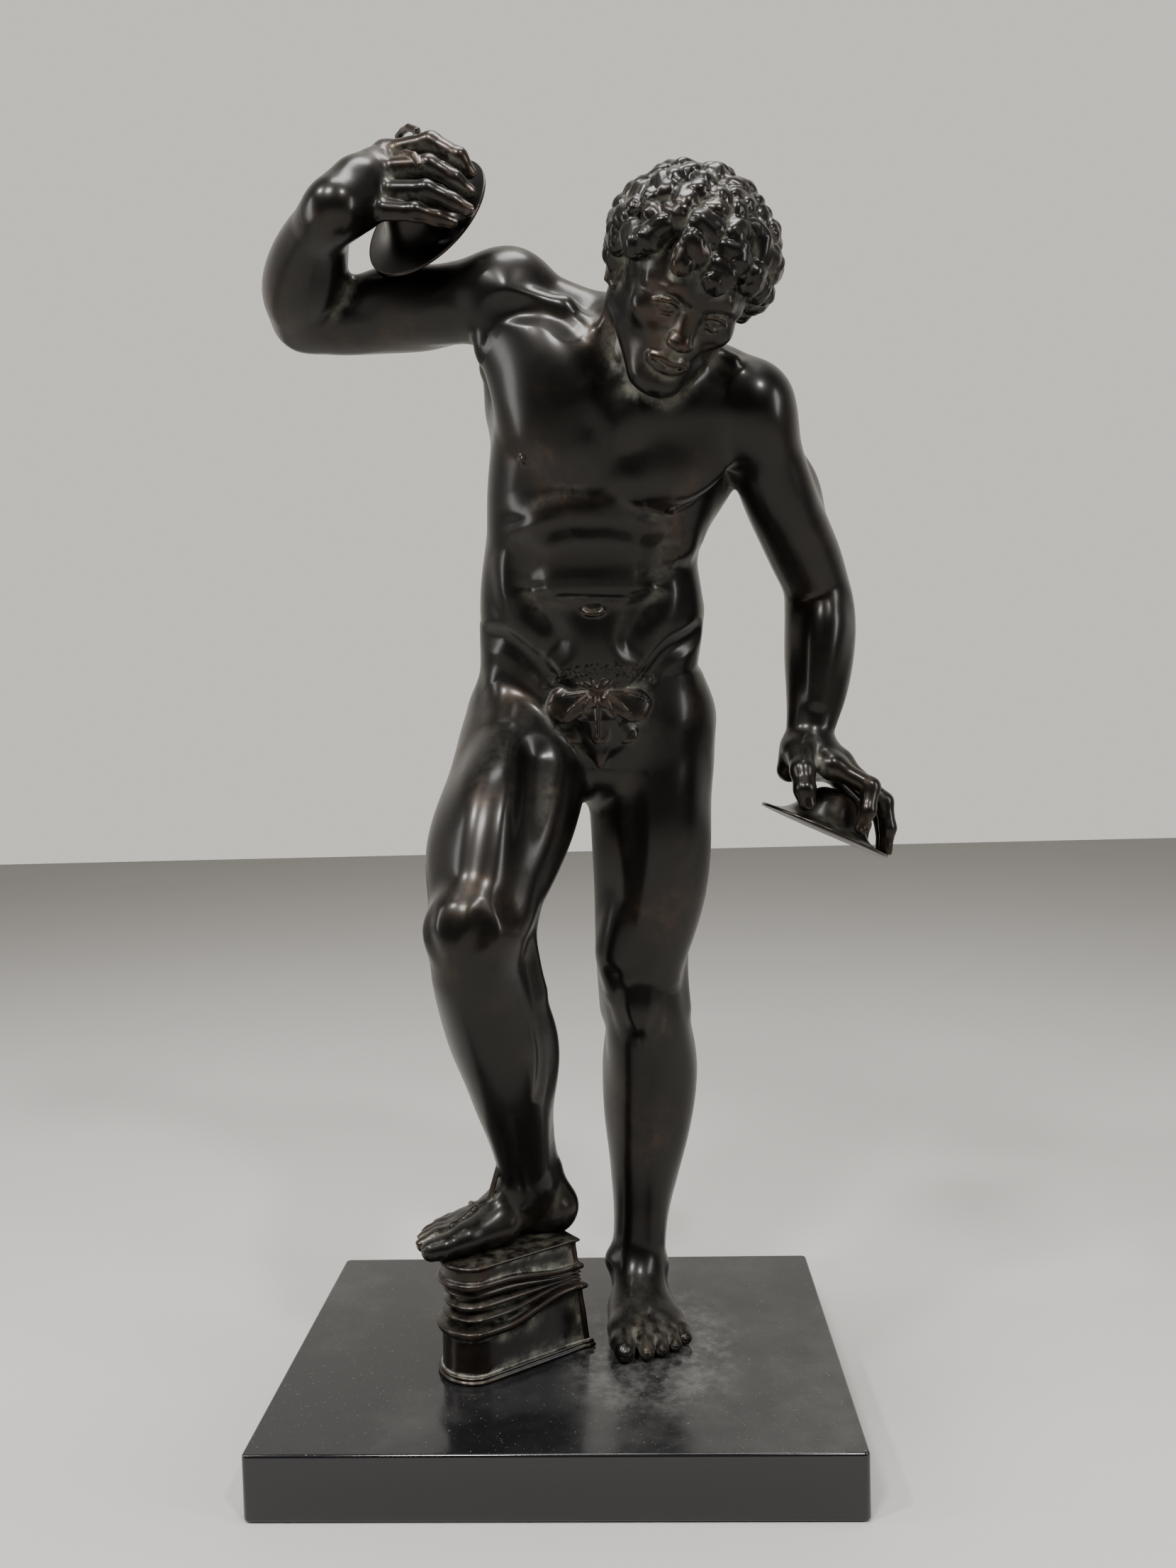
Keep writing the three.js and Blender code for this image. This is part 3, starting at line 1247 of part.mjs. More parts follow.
function clapperMesh() {
  const { heel, heading, length, width, levels } = CLAPPER;
  const ahead = [Math.cos(heading), Math.sin(heading)];
  const across = [-ahead[1], ahead[0]];
  const outline = [[0, -1], [0, 1]];
  const shares = [0.1, 0.25, 0.4, 0.55, 0.72];
  for (const share of shares) outline.push([share, 1]);
  for (let i = 1; i < 8; i += 1) {
    const angle = (i * Math.PI) / 8;
    outline.push([0.8 + 0.2 * Math.sin(angle), Math.cos(angle)]);
  }
  for (const share of shares.reverse()) outline.push([share, -1]);
  const points = [];
  for (const { front, heel: heelHeight, out, fold = 0, lean } of levels) {
    for (const [share, side] of outline) {
      const part = Math.min(Math.max((share - 0.1) / 0.55, 0), 1);
      const climb = part * part * (3 - 2 * part);
      const swell = out + fold * climb;
      const along = lean * (1 - share) + share * length + (share > 0 ? share : -1) * swell;
      const aside = side * (width / 2 + swell);
      const height = PLINTH_HEIGHT + heelHeight + (front - heelHeight) * climb;
      points.push([
        heel[0] + ahead[0] * along + across[0] * aside,
        heel[1] + ahead[1] * along + across[1] * aside,
        height,
      ]);
    }
  }
  const count = outline.length;
  const faces = [];
  for (let level = 0; level < levels.length - 1; level += 1) {
    for (let i = 0; i < count; i += 1) {
      const a = level * count + i;
      const b = level * count + ((i + 1) % count);
      faces.push([a, a + count, b + count], [a, b + count, b]);
    }
  }
  const shape = outline.map(([share, side]) => new THREE.Vector2(share * length, (side * width) / 2));
  const lid = (levels.length - 1) * count;
  for (const [a, b, c] of THREE.ShapeUtils.triangulateShape(shape, [])) {
    faces.push([a, c, b], [lid + a, lid + b, lid + c]);
  }
  return { points, faces };
}

// A plain block used to trim the soles level with what they stand on.
function block(low, high) {
  const size = minus(high, low);
  const geometry = new THREE.BoxGeometry(...size);
  return solidOf(geometry.translate(...mix(low, high, 0.5)));
}

const forms = [];
const add = (each) => forms.push(each);
torso(add);
arms(add);
legs(add);
hands(add);
foot(add, leftFoot, 1);
foot(add, rightFoot, -1);
head(add);
leaf(add);
hair(add);

const raw = skin(forms, [-200, -190, 30], [250, 150, 862], CELL);
const plain = thinned(raw, FIGURE_TRIANGLES);
const clearRight = placed(cymbalClearance(), RIGHT_CYMBAL_AXIS, RIGHT_CYMBAL_CENTRE);
const clearLeft = placed(cymbalClearance(), LEFT_CYMBAL_AXIS, LEFT_CYMBAL_CENTRE);
const trimmed = solidFrom(plain)
  .subtract(solidOf(clearRight))
  .subtract(solidOf(clearLeft))
  .subtract(block([-10, -100, 0], [140, 140, PLINTH_HEIGHT + GAP]))
  .subtract(block([-140, -110, 20], [26, 60, TREAD_HEIGHT]));
// Trimming can leave crumbs beside the fingertips, so the largest body is the figure.
const [largest] = trimmed.decompose().sort((a, b) => b.volume() - a.volume());
const figure = thinned(meshOf(largest), 4, 1e-5);

function piece(name, geometry, color, roughness, metalness) {
  const material = new THREE.MeshStandardMaterial({ color, roughness, metalness });
  const mesh = new THREE.Mesh(geometry, material);
  mesh.name = name;
  return mesh;
}

const group = new THREE.Group();
group.name = 'faun_statuette';
group.add(
  piece('plinth', plinthGeometry(), 0x0b0b0d, 0.22, 0),
  piece('faun', geometryOf(figure), 0x1a1512, 0.32, 0.85),
  piece('foot_clapper', geometryOf(clapperMesh()), 0x1e1813, 0.4, 0.8),
  piece(
    'right_cymbal',
    placed(cymbalGeometry(), RIGHT_CYMBAL_AXIS, RIGHT_CYMBAL_CENTRE),
    0x191614,
    0.3,
    0.85,
  ),
  piece(
    'left_cymbal',
    placed(cymbalGeometry(), LEFT_CYMBAL_AXIS, LEFT_CYMBAL_CENTRE),
    0x191614,
    0.3,
    0.85,
  ),
);

export default group;
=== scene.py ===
import math
import bpy
import numpy as np
from mathutils import Matrix, Vector


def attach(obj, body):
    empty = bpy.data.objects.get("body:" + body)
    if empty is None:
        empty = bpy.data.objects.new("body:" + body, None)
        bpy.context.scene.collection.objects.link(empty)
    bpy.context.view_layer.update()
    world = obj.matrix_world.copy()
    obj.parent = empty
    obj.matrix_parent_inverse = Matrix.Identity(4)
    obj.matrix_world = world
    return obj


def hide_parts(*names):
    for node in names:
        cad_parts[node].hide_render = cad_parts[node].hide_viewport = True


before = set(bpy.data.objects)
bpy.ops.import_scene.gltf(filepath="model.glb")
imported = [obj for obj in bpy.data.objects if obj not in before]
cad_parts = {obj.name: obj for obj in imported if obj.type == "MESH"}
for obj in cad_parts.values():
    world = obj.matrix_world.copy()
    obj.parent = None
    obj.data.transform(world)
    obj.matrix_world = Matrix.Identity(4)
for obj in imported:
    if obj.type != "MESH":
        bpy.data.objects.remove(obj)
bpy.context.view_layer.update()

# PLINTH
# A rectangular slab of polished black stone, 370 by 270 by 41 mm. Its edges carry a narrow
# rounded chamfer, and dust lies on the top.


class Finish:
    """A shader socket that can be added, scaled and mixed as a plain number."""

    def __init__(self, tree, socket):
        self.tree, self.socket = tree, socket

    def node(self, kind, settings=None, **sockets):
        made = self.tree.nodes.new(kind)
        for name, value in (settings or {}).items():
            if name == "stops":
                ramp = made.color_ramp
                while len(ramp.elements) < len(value):
                    ramp.elements.new(0.5)
                for stop, (at, colour) in zip(ramp.elements, value):
                    stop.position, stop.color = at, colour
            else:
                setattr(made, name, value)
        for name, value in sockets.items():
            target = made.inputs[int(name[1:]) if name[0] == "_" else name.replace("_", " ")]
            if isinstance(value, Finish):
                self.tree.links.new(value.socket, target)
            else:
                target.default_value = value
        return made

    def out(self, kind, output=0, settings=None, **sockets):
        return Finish(self.tree, self.node(kind, settings, **sockets).outputs[output])

    def maths(self, operation, *values):
        sockets = {f"_{i}": value for i, value in enumerate(values)}
        return self.out("ShaderNodeMath", settings={"operation": operation}, **sockets)

    def __add__(self, other): return self.maths("ADD", self, other)
    def __radd__(self, other): return self.maths("ADD", other, self)
    def __sub__(self, other): return self.maths("SUBTRACT", self, other)
    def __rsub__(self, other): return self.maths("SUBTRACT", other, self)
    def __mul__(self, other): return self.maths("MULTIPLY", self, other)
    def __rmul__(self, other): return self.maths("MULTIPLY", other, self)

    def between(self, low, high):
        """0 below low, 1 above high, smooth between."""
        return self.out(
            "ShaderNodeMapRange", settings={"interpolation_type": "SMOOTHSTEP"},
            Value=self, From_Min=low, From_Max=high, To_Min=0.0, To_Max=1.0)

    def blend(self, under, over):
        """Colour that goes from under to over as this value goes from 0 to 1."""
        settings = {"data_type": "RGBA"}
        under, over = [c if isinstance(c, Finish) else (*c, 1.0) for c in (under, over)]
        return self.out("ShaderNodeMix", 2, settings, _0=self, _6=under, _7=over)


def finish_start(name):
    """A new material with a Principled shader; returns the material, its shader and a first value."""
    material = bpy.data.materials.new(name)
    material.use_nodes = True
    shader = material.node_tree.nodes["Principled BSDF"]
    place = material.node_tree.nodes.new("ShaderNodeTexCoord")
    return material, shader, Finish(material.node_tree, place.outputs["Object"])


def cloud(place, size_mm, detail=4.0, rough=0.5):
    """Soft noise from 0 to 1 with patches of about this size."""
    return place.out(
        "ShaderNodeTexNoise", 0, Vector=place, Scale=1000.0 / size_mm, Detail=detail, Roughness=rough)


def connect(material, shader, **values):
    for name, value in values.items():
        name = name.replace("_", " ")
        if isinstance(value, Finish):
            material.node_tree.links.new(value.socket, shader.inputs[name])
        else:
            shader.inputs[name].default_value = value


def set_material(piece, material):
    piece.data.materials.clear()
    piece.data.materials.append(material)


stone, stone_shader, place = finish_start("polished_black_stone")
upward = place.out("ShaderNodeSeparateXYZ", 2, _0=place.out("ShaderNodeNewGeometry", 1))
grain = cloud(place, 0.9, 6.0, 0.7)
specks = cloud(place, 2.2, 3.0, 0.8).between(0.70, 0.76)
dust = upward.between(0.5, 0.95) * cloud(place, 120, 6.0, 0.68).between(0.42, 0.80)
lint = upward.between(0.5, 0.95) * cloud(place, 1.6, 2.0, 0.5).between(0.70, 0.74)
spread = place.out(
    "ShaderNodeVectorMath", 1, {"operation": "LENGTH"},
    _0=place.out("ShaderNodeVectorMath", 0, {"operation": "MULTIPLY_ADD"},
                 _0=place, _1=(20.0, 13.0, 0.0), _2=(-1.2, 0.1, 0.0)))
drift = (1.0 - spread.between(0.75, 1.5)) * upward.between(0.5, 0.95)
drift = drift * cloud(place, 12, 5.0, 0.7).between(0.35, 0.75)
veil = dust * 0.10 + specks * 0.06 + lint * 0.30 + drift * 0.22
connect(
    stone, stone_shader,
    Base_Color=veil.blend((0.008, 0.008, 0.009), (0.36, 0.35, 0.32)),
    Roughness=0.10 + dust * 0.22 + grain * 0.05 + lint * 0.4,
    Normal=place.out("ShaderNodeBump", Strength=0.10, Distance=0.0003, Height=cloud(place, 14, 2.0)),
    IOR=1.55, Metallic=0.0)

PLINTH_WIDTH, PLINTH_DEPTH, PLINTH_HEIGHT = 370.0, 270.0, 41.0


def ring_stack(name, rings, lids=True, closed=True):
    """A skin of quads over rings of equal length, in millimetres, with a lid at both ends."""
    count = len(rings[0])
    points = [p for ring in rings for p in ring]
    faces = []
    for level in range(len(rings) - 1):
        for i in range(count if closed else count - 1):
            a, b = level * count + i, level * count + (i + 1) % count
            faces.append((a, b, b + count, a + count))
    if lids:
        faces.append(tuple(reversed(range(count))))
        faces.append(tuple((len(rings) - 1) * count + i for i in range(count)))
    data = bpy.data.meshes.new(name)
    data.from_pydata([[v / 1000.0 for v in p] for p in points], [], faces)
    data.validate()
    piece = bpy.data.objects.new(name, data)
    bpy.context.scene.collection.objects.link(piece)
    return piece


def slab_ring(inset, height, corner=4.0, steps=5):
    ring = []
    for quarter, (sx, sy) in enumerate([(1, 1), (-1, 1), (-1, -1), (1, -1)]):
        for i in range(steps + 1):
            angle = (quarter + i / steps) * math.pi / 2
            reach = max(corner - inset, 0.4)
            ring.append((
                sx * (PLINTH_WIDTH / 2 - corner) + reach * math.cos(angle),
                sy * (PLINTH_DEPTH / 2 - corner) + reach * math.sin(angle), height))
    return ring


levels = [(1.7, 0.0), (0.9, 0.35), (0.2, 1.2), (0.0, 2.2), (0.0, 20.0),
          (0.0, 38.9), (0.25, 39.9), (0.85, 40.7), (1.5, 40.98), (2.6, 41.0)]
slab = ring_stack("plinth_slab", [slab_ring(*level) for level in levels])
set_material(slab, stone)
for face in slab.data.polygons:
    face.use_smooth = abs(face.normal.z) < 0.98 and len(face.vertices) == 4
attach(slab, "root")
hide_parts("plinth")

# FAUN
# The cast bronze figure with its locks of hair, fig leaf, hand straps and sandal strap. The
# body is built from muscle, bone and skin forms joined softly, then skinned as one mesh.


def vec(v):
    return np.asarray(v, float)


def unit(v):
    return vec(v) / np.linalg.norm(v)


def mix(a, b, t):
    return vec(a) + (vec(b) - vec(a)) * t


class Bearing:
    """A local frame on the body: x to his left, y to his back, z up."""

    def __init__(self, origin, up, side):
        self.origin, self.z, side = vec(origin), unit(up), vec(side)
        self.x = unit(side - self.z * (side @ self.z))
        self.y = np.cross(self.z, self.x)
        self.rows = np.stack([self.x, self.y, self.z])

    def __call__(self, x, y, z):
        return self.origin + self.dir(x, y, z)

    def dir(self, x, y, z):
        return self.x * x + self.y * y + self.z * z


# Every form of the figure in the order it is joined: the distance to it, its centre and reach,
# how softly it joins, and whether it is cut away.
forms = []


def squashed(w, radius, flat):
    if flat is None:
        return np.sqrt((w * w).sum(1)) - radius
    normal, squash = unit(flat[0]), flat[1]
    h = w @ normal
    rest = np.maximum((w * w).sum(1) - h * h, 0)
    m = np.sqrt(rest + (h / squash) ** 2)
    return (m - radius) * m / (np.sqrt(rest + (h / squash / squash) ** 2) + 1e-9)


def bone(a, b):
    """Middle and half length of a line, and a function for points: their share along it and offset."""
    a, b = vec(a), vec(b)
    along = b - a
    square = max(along @ along, 1e-9)

    def place(points):
        v = points - a
        share = v @ along / square
        t = np.clip(share, 0, 1)
        return share, t, v - t[:, None] * along
    return (a + b) / 2, math.sqrt(square) / 2, place


def cone(a, b, ra, rb, soft, cut=False, flat=None):
    """Rounded cone between two points; flat squashes its thickness along a direction."""
    middle, half, place = bone(a, b)

    def distance(points):
        _, t, w = place(points)
        return squashed(w, ra + (rb - ra) * t, flat)
    forms.append((distance, middle, half + max(ra, rb), soft, cut))


def spindle(a, b, radius, soft, bulge, tip, flat=None):
    """Muscle belly: full radius at the bulge, a fraction of it at both tips."""
    middle, half, place = bone(a, b)

    def distance(points):
        _, t, w = place(points)
        u = np.where(t < bulge, t / bulge, (1 - t) / (1 - bulge))
        return squashed(w, radius * (tip + (1 - tip) * np.sin(u * math.pi / 2)), flat)
    forms.append((distance, middle, half + radius, soft, False))


def egg(x, y, z, rx, ry, rz):
    near = np.sqrt((x / rx) ** 2 + (y / ry) ** 2 + (z / rz) ** 2)
    slope = np.sqrt((x / rx / rx) ** 2 + (y / ry / ry) ** 2 + (z / rz / rz) ** 2) + 1e-9
    return np.where(near < 1e-3, -np.minimum(rx, ry), near * (near - 1) / slope)


def ball(centre, radii, soft, cut=False, bearing=None):
    """Ellipsoid with its own radii in a local frame."""
    centre, radii = vec(centre), vec(radii)
    rows = np.eye(3) if bearing is None else bearing.rows

    def distance(points):
        q = (points - centre) @ rows.T
        return egg(q[:, 0], q[:, 1], q[:, 2], *radii)
    forms.append((distance, centre, radii.max(), soft, cut))


def spline(rows, count):
    """Smooth curve through rows of numbers."""
    p = vec(rows)
    last = len(p) - 1
    q = np.vstack([2 * p[0] - p[1], p, 2 * p[-1] - p[-2]])
    t = np.linspace(0, last, count)
    i = np.minimum(t.astype(int), last - 1)
    u = (t - i)[:, None]
    a, b, c, d = q[i], q[i + 1], q[i + 2], q[i + 3]
    return 0.5 * (2 * b + (c - a) * u + (2 * a - 5 * b + 4 * c - d) * u * u
                  + (3 * b - a - 3 * c + d) * u ** 3)


def cord(points, out, radius, lift, end_lift, soft, cut=False):
    """Round cord lifted off skin points along one direction, its ends by another height."""
    lifts = np.full(len(points), float(lift))
    lifts[[0, -1]] = end_lift
    line = spline(vec(points) + np.outer(lifts, unit(out)), 4 * len(points) - 3)

    def distance(points):
        nearest = np.full(len(points), 1e9)
        for a, b in zip(line, line[1:]):
            v = points - a
            t = np.clip(v @ (b - a) / ((b - a) @ (b - a) + 1e-9), 0, 1)
            w = v - t[:, None] * (b - a)
            nearest = np.minimum(nearest, (w * w).sum(1))
        return np.sqrt(nearest) - radius
    centre = line.mean(0)
    reach = np.linalg.norm(line - centre, axis=1).max() + radius
    forms.append((distance, centre, reach, soft, cut))


def loft(rows, front0, front1, cap, soft=10):
    """Egg sections x, y, z, side, front, back swept along a smooth line with domed ends."""
    count = 4 * (len(rows) - 1) + 1
    stations = spline(rows, count)
    centres, radii = stations[:, :3], np.maximum(stations[:, 3:6], 0.5)
    for turn in range(8):
        centres[1:-1] = (centres[:-2] + 2 * centres[1:-1] + centres[2:]) / 4
    tangents = np.gradient(centres, axis=0)
    tangents /= np.linalg.norm(tangents, axis=1)[:, None]
    share = np.linspace(0, 1, count)[:, None]
    fronts = unit(front0) * (1 - share) + unit(front1) * share
    fronts = fronts - tangents * (fronts * tangents).sum(1)[:, None]
    fronts /= np.linalg.norm(fronts, axis=1)[:, None]
    sides = np.cross(tangents, fronts)
    spans = centres[1:] - centres[:-1]
    squares = (spans ** 2).sum(1)

    def distance(points):
        best = np.full(len(points), 1e18)
        at = np.zeros(len(points), int)
        u = np.zeros(len(points))
        for i in range(count - 1):
            v = points - centres[i]
            t = np.clip(v @ spans[i] / squares[i], 0, 1)
            w = v - t[:, None] * spans[i]
            gap = (w * w).sum(1)
            near = gap < best
            best[near], at[near], u[near] = gap[near], i, t[near]
        along = at + u
        for step in (1, 2, 3):
            i = np.minimum(along.astype(int), count - 2)
            s = (along - i)[:, None]
            v = points - (centres[i] * (1 - s) + centres[i + 1] * s)
            tangent = tangents[i] * (1 - s) + tangents[i + 1] * s
            if step < 3:
                length = np.sqrt(squares[i])
                bend = (v * (tangents[i + 1] - tangents[i])).sum(1)
                move = (v * tangent).sum(1) / np.maximum(length - bend, 0.35 * length)
                along = np.clip(along + move, 0, count - 1)
        x = (v * (sides[i] * (1 - s) + sides[i + 1] * s)).sum(1)
        y = (v * (fronts[i] * (1 - s) + fronts[i + 1] * s)).sum(1)
        z = (v * tangent).sum(1)
        r = radii[i] * (1 - s) + radii[i + 1] * s
        is_end = (along <= 0) | (along >= count - 1)
        dome = r.mean(1) * np.where(along <= 0, cap[0], cap[1])
        return egg(x, y, np.where(is_end, z, 0), r[:, 0], np.where(y > 0, r[:, 1], r[:, 2]), dome)
    low, high = centres.min(0), centres.max(0)
    reach = np.linalg.norm(high - low) / 2 + radii.max()
    forms.append((distance, (low + high) / 2, reach, soft, False))


def soft_min(a, b, k):
    h = np.maximum(k - np.abs(a - b), 0) / k
    return np.minimum(a, b) - h * h * k * 0.25


class Body:
    """Forms joined softly in order; called with points in millimetres it gives distances."""

    # Points are worked through in blocks of this size, each against the forms near it.
    block = 16.0

    def __init__(self, forms):
        self.forms = list(forms)

    def __call__(self, points):
        stride, shift, far_away = 2000, 500, 60.0
        key = np.floor(points / self.block).astype(np.int64) + shift
        flat_key = (key[:, 0] * stride + key[:, 1]) * stride + key[:, 2]
        order = np.argsort(flat_key, kind="stable")
        cells, start = np.unique(flat_key[order], return_index=True)
        end = np.append(start[1:], len(order))
        middles = np.stack([cells // stride ** 2, (cells // stride) % stride, cells % stride], 1)
        middles = (middles - (shift - 0.5)) * self.block
        corner = self.block * 0.87
        ordered = points[order]
        value = np.full(len(points), far_away)
        for distance, centre, reach, soft, cut in self.forms:
            gap = np.linalg.norm(middles - centre, axis=1)
            near = gap < reach + corner + soft + (2 if cut else 12)
            if near.any():
                spans = [np.arange(a, b) for a, b in zip(start[near], end[near])]
                which = np.concatenate(spans)
                d = distance(ordered[which])
                if cut:
                    value[which] = -soft_min(-value[which], d, soft)
                else:
                    value[which] = soft_min(value[which], d, soft)
        result = np.empty(len(points))
        result[order] = value
        return result

    def slope(self, points, step=0.35):
        """Outward direction of the skin at points."""
        offsets = np.array([[1, -1, -1], [-1, 1, -1], [-1, -1, 1], [1, 1, 1]], float)
        total = sum(o * self(points + o * step)[:, None] for o in offsets)
        return total / (np.linalg.norm(total, axis=1)[:, None] + 1e-12)


def skinned(body, low, high, cell):
    """Vertices and quads of the surface where the distance is zero, on a grid of cells."""
    low = vec(low)
    shape = np.ceil((np.asarray(high) - low) / (cell * 8)).astype(int)
    cells = np.stack(np.meshgrid(*[np.arange(n) for n in shape], indexing="ij"), -1).reshape(-1, 3)
    size = 8
    for level in (8, 2, 1):
        split = size // level
        if split > 1:
            child = np.stack(np.meshgrid(*[np.arange(split)] * 3, indexing="ij"), -1).reshape(-1, 3)
            cells = (cells[:, None] * split + child[None]).reshape(-1, 3)
        size = level
        value = body(low + (cells + 0.5) * cell * size)
        cells = cells[np.abs(value) < cell * size * 1.15 + (2 if level == 8 else 0.6)]
    stride = 4096
    corners = np.array([[a, b, c] for a in (0, 1) for b in (0, 1) for c in (0, 1)])
    key = (cells[:, 0].astype(np.int64) * stride + cells[:, 1]) * stride + cells[:, 2]
    order = np.argsort(key)
    cells, key = cells[order], key[order]
    corner_key = np.stack([key + (o[0] * stride + o[1]) * stride + o[2] for o in corners], 1)
    known, slot = np.unique(corner_key, return_inverse=True)
    slot = slot.reshape(corner_key.shape)
    grid = np.stack([known // stride ** 2, (known // stride) % stride, known % stride], 1)
    values = body(grid * cell + low)[slot]
    inside = values < 0
    crossed = inside.any(1) & ~inside.all(1)
    cells, key, values, inside = cells[crossed], key[crossed], values[crossed], inside[crossed]
    total, count = np.zeros((len(cells), 3)), np.zeros(len(cells))
    for a in range(8):
        for b in range(a + 1, 8):
            if np.abs(corners[a] - corners[b]).sum() == 1:
                cut = inside[:, a] != inside[:, b]
                t = values[cut, a] / (values[cut, a] - values[cut, b])
                total[cut] += corners[a] + (corners[b] - corners[a]) * t[:, None]
                count[cut] += 1
    points = low + (cells + total / count[:, None]) * cell

    def find(wanted):
        at = np.minimum(np.searchsorted(key, wanted), len(key) - 1)
        return np.where(key[at] == wanted, at, -1)
    quads = []
    steps = [stride * stride, stride, 1]
    for axis, far in enumerate((4, 2, 1)):
        cut = inside[:, 0] != inside[:, far]
        base, s1, s2 = key[cut], steps[(axis + 1) % 3], steps[(axis + 2) % 3]
        quad = np.stack([find(base), find(base - s1), find(base - s1 - s2), find(base - s2)], 1)
        quad[~inside[cut, 0]] = quad[~inside[cut, 0]][:, ::-1]
        quads.append(quad[(quad >= 0).all(1)])
    return points, np.concatenate(quads)


FRONT = [0, -1, 0]
PELVIS = Bearing([29, 30, 476], [0.02, -0.16, 1], [1, 0, 0.03])
RIBS = Bearing([57, -40, 660], [0.198, -0.45, 0.870], [0.96, -0.09, -0.266])
HEAD = Bearing([94, -120, 722], [0.42, -0.62, 0.66], [0.90, 0.36, -0.25])
LEFT_FOOT = Bearing([50, 47, PLINTH_HEIGHT], [0, 0, 1], [1, 0.04, 0])
RIGHT_FOOT = Bearing([-22, -1, 119], [0, 0, 1], [0.5, -0.866, 0])
CHEST_IN = [0.198, 0.888, 0.414]
BACK_OUT = [0.1, -0.8, -0.5]


def crease(points, out, radius, depth, soft):
    """A shallow valley along skin points, fading out at its ends."""
    cord(points, out, radius, radius - depth, radius + 1, soft, True)


def welt(points, out, radius, height, soft):
    """A low rounded ridge along skin points, fading out at its ends."""
    cord(points, out, radius, height - radius, -radius - 1, soft)


# Torso: belly and rib cage as one swept egg section: x, y, z, side, front and back radius
loft([[29, 26, 440, 66, 36, 50], [31, 25, 465, 80, 43, 61], [29, 20, 492, 79, 44, 62],
    [28, 15.5, 510, 75, 43.5, 54], [31, 10.5, 527, 73, 44, 50], [33, 6, 541, 70, 46, 47],
    [31, -3.5, 568, 68, 44.5, 51.5], [33, -11.5, 590, 70, 45.5, 52.5], [38, -19.5, 610, 74, 47.5, 56.5],
    [46, -30, 635, 77, 50, 60], [54, -41, 660, 78, 50, 60], [60, -51.5, 684, 72, 43.5, 55.5],
    [64, -59, 703, 58, 33, 43]], FRONT, [0.1, -0.9, -0.42], [0.5, 0.4])
# shoulder girdle, neck and the slopes beside it
cone(RIBS(-58, 4, 46), [-13, -55, 734], 25, 25, 12)
cone(RIBS(56, 4, 32), [131, -60, 660], 25, 25, 10)
cone([64, -60, 706], HEAD(0, 14, -34), 26, 25, 12)
cone([66, -58, 708], [7, -53, 736], 18, 12, 14)
cone([80, -64, 700], [121, -60, 670], 14, 10, 14)
# cords of the neck from behind the ears to the breastbone
cone(HEAD(-27, 12, -22), [42, -86, 694], 7, 4.5, 6)
cone(HEAD(27, 12, -22), [58, -92, 690], 7, 4.5, 6)
# breast muscles: the right one stretched by the raised arm, the left one gathered
spindle([30, -84, 686], [-16, -64, 717], 18, 12, 0.5, 0.65, [CHEST_IN, 0.55])
spindle([28, -84, 662], [-20, -61, 708], 24, 12, 0.45, 0.6, [CHEST_IN, 0.52])
spindle([24, -77, 634], [-20, -59, 700], 24, 11, 0.42, 0.55, [CHEST_IN, 0.5])
spindle([68, -88, 674], [126, -70, 662], 18, 12, 0.5, 0.65, [CHEST_IN, 0.6])
spindle([68, -85, 650], [124, -69, 650], 24, 12, 0.45, 0.65, [CHEST_IN, 0.55])
spindle([64, -73, 615], [121, -64, 640], 24, 9, 0.38, 0.6, [CHEST_IN, 0.6])
crease([[54, -72, 602], [68, -66, 595], [86, -58, 593], [100, -54, 600], [118, -56, 618], [130, -66, 630]],
    [0.25, -0.7, -0.65], 6, 3, 2.5)
crease([[44, -98, 690], [48, -98, 664], [46, -95, 646], [44, -87, 626], [43, -76, 606]], [0, -0.96, -0.25],
    7, 4.6, 5)
# collar bones and the hollows under them
cone([46, -86, 694], [22, -82, 719], 4.5, 5, 8)
cone([22, -82, 719], [-12, -78, 731], 5, 7, 9)
cone([68, -92, 688], [96, -90, 694], 4.5, 5, 8)
cone([96, -90, 694], [122, -82, 682], 5, 6, 9)
crease([[-22, -74, 722], [-6, -84, 719], [10, -91, 715], [26, -91, 705]], [-0.1, -0.98, -0.1], 7, 2.6, 5)
# broad back muscles running to the armpits, shoulder blades
spindle([-20, -26, 696], RIBS(-50, 14, -66), 17, 24, 0.3, 0.4)
spindle([122, -30, 652], RIBS(54, 18, -60), 17, 12, 0.35, 0.3)
spindle([-24, -22, 704], [18, 22, 640], 18, 22, 0.6, 0.6, [BACK_OUT, 0.5])
spindle([120, -28, 672], [92, 16, 622], 18, 20, 0.6, 0.6, [BACK_OUT, 0.5])
# long muscles beside the spine, seat, flanks and hip rolls
for s in [-1, 1]:
    spindle([54 + s * 19, 8, 690], [31 + s * 16, 58, 512], 19, 16, 0.65, 0.3)
    ball(PELVIS(s * 38, 35, -15), [37, 34, 43], 20, bearing=PELVIS)
crease([[62, -2, 704], [57, 15, 678], [47, 31, 640], [36, 48, 600], [32, 60, 560], [30, 74, 520],
    [30, 84, 500]], [0, 0.97, 0.2], 9, 3, 9)
crease([[30, 90, 498], [30, 92, 470], [31, 86, 440]], [0, 1, 0], 6, 6, 4)
spindle([-20, -2, 606], [-22, 8, 500], 20, 20, 0.52, 0.15)
spindle([84, -2, 600], [83, 8, 496], 19, 20, 0.52, 0.15)
# edge of the rib arch
welt([[4, -56, 586], [12, -62, 595], [22, -66, 600], [32, -67, 598], [46, -66, 598], [58, -61, 592],
    [66, -54, 584]], [0.02, -0.9, -0.42], 10, 2.2, 10)
ball([35, -37, 574], [34, 13, 26], 14)
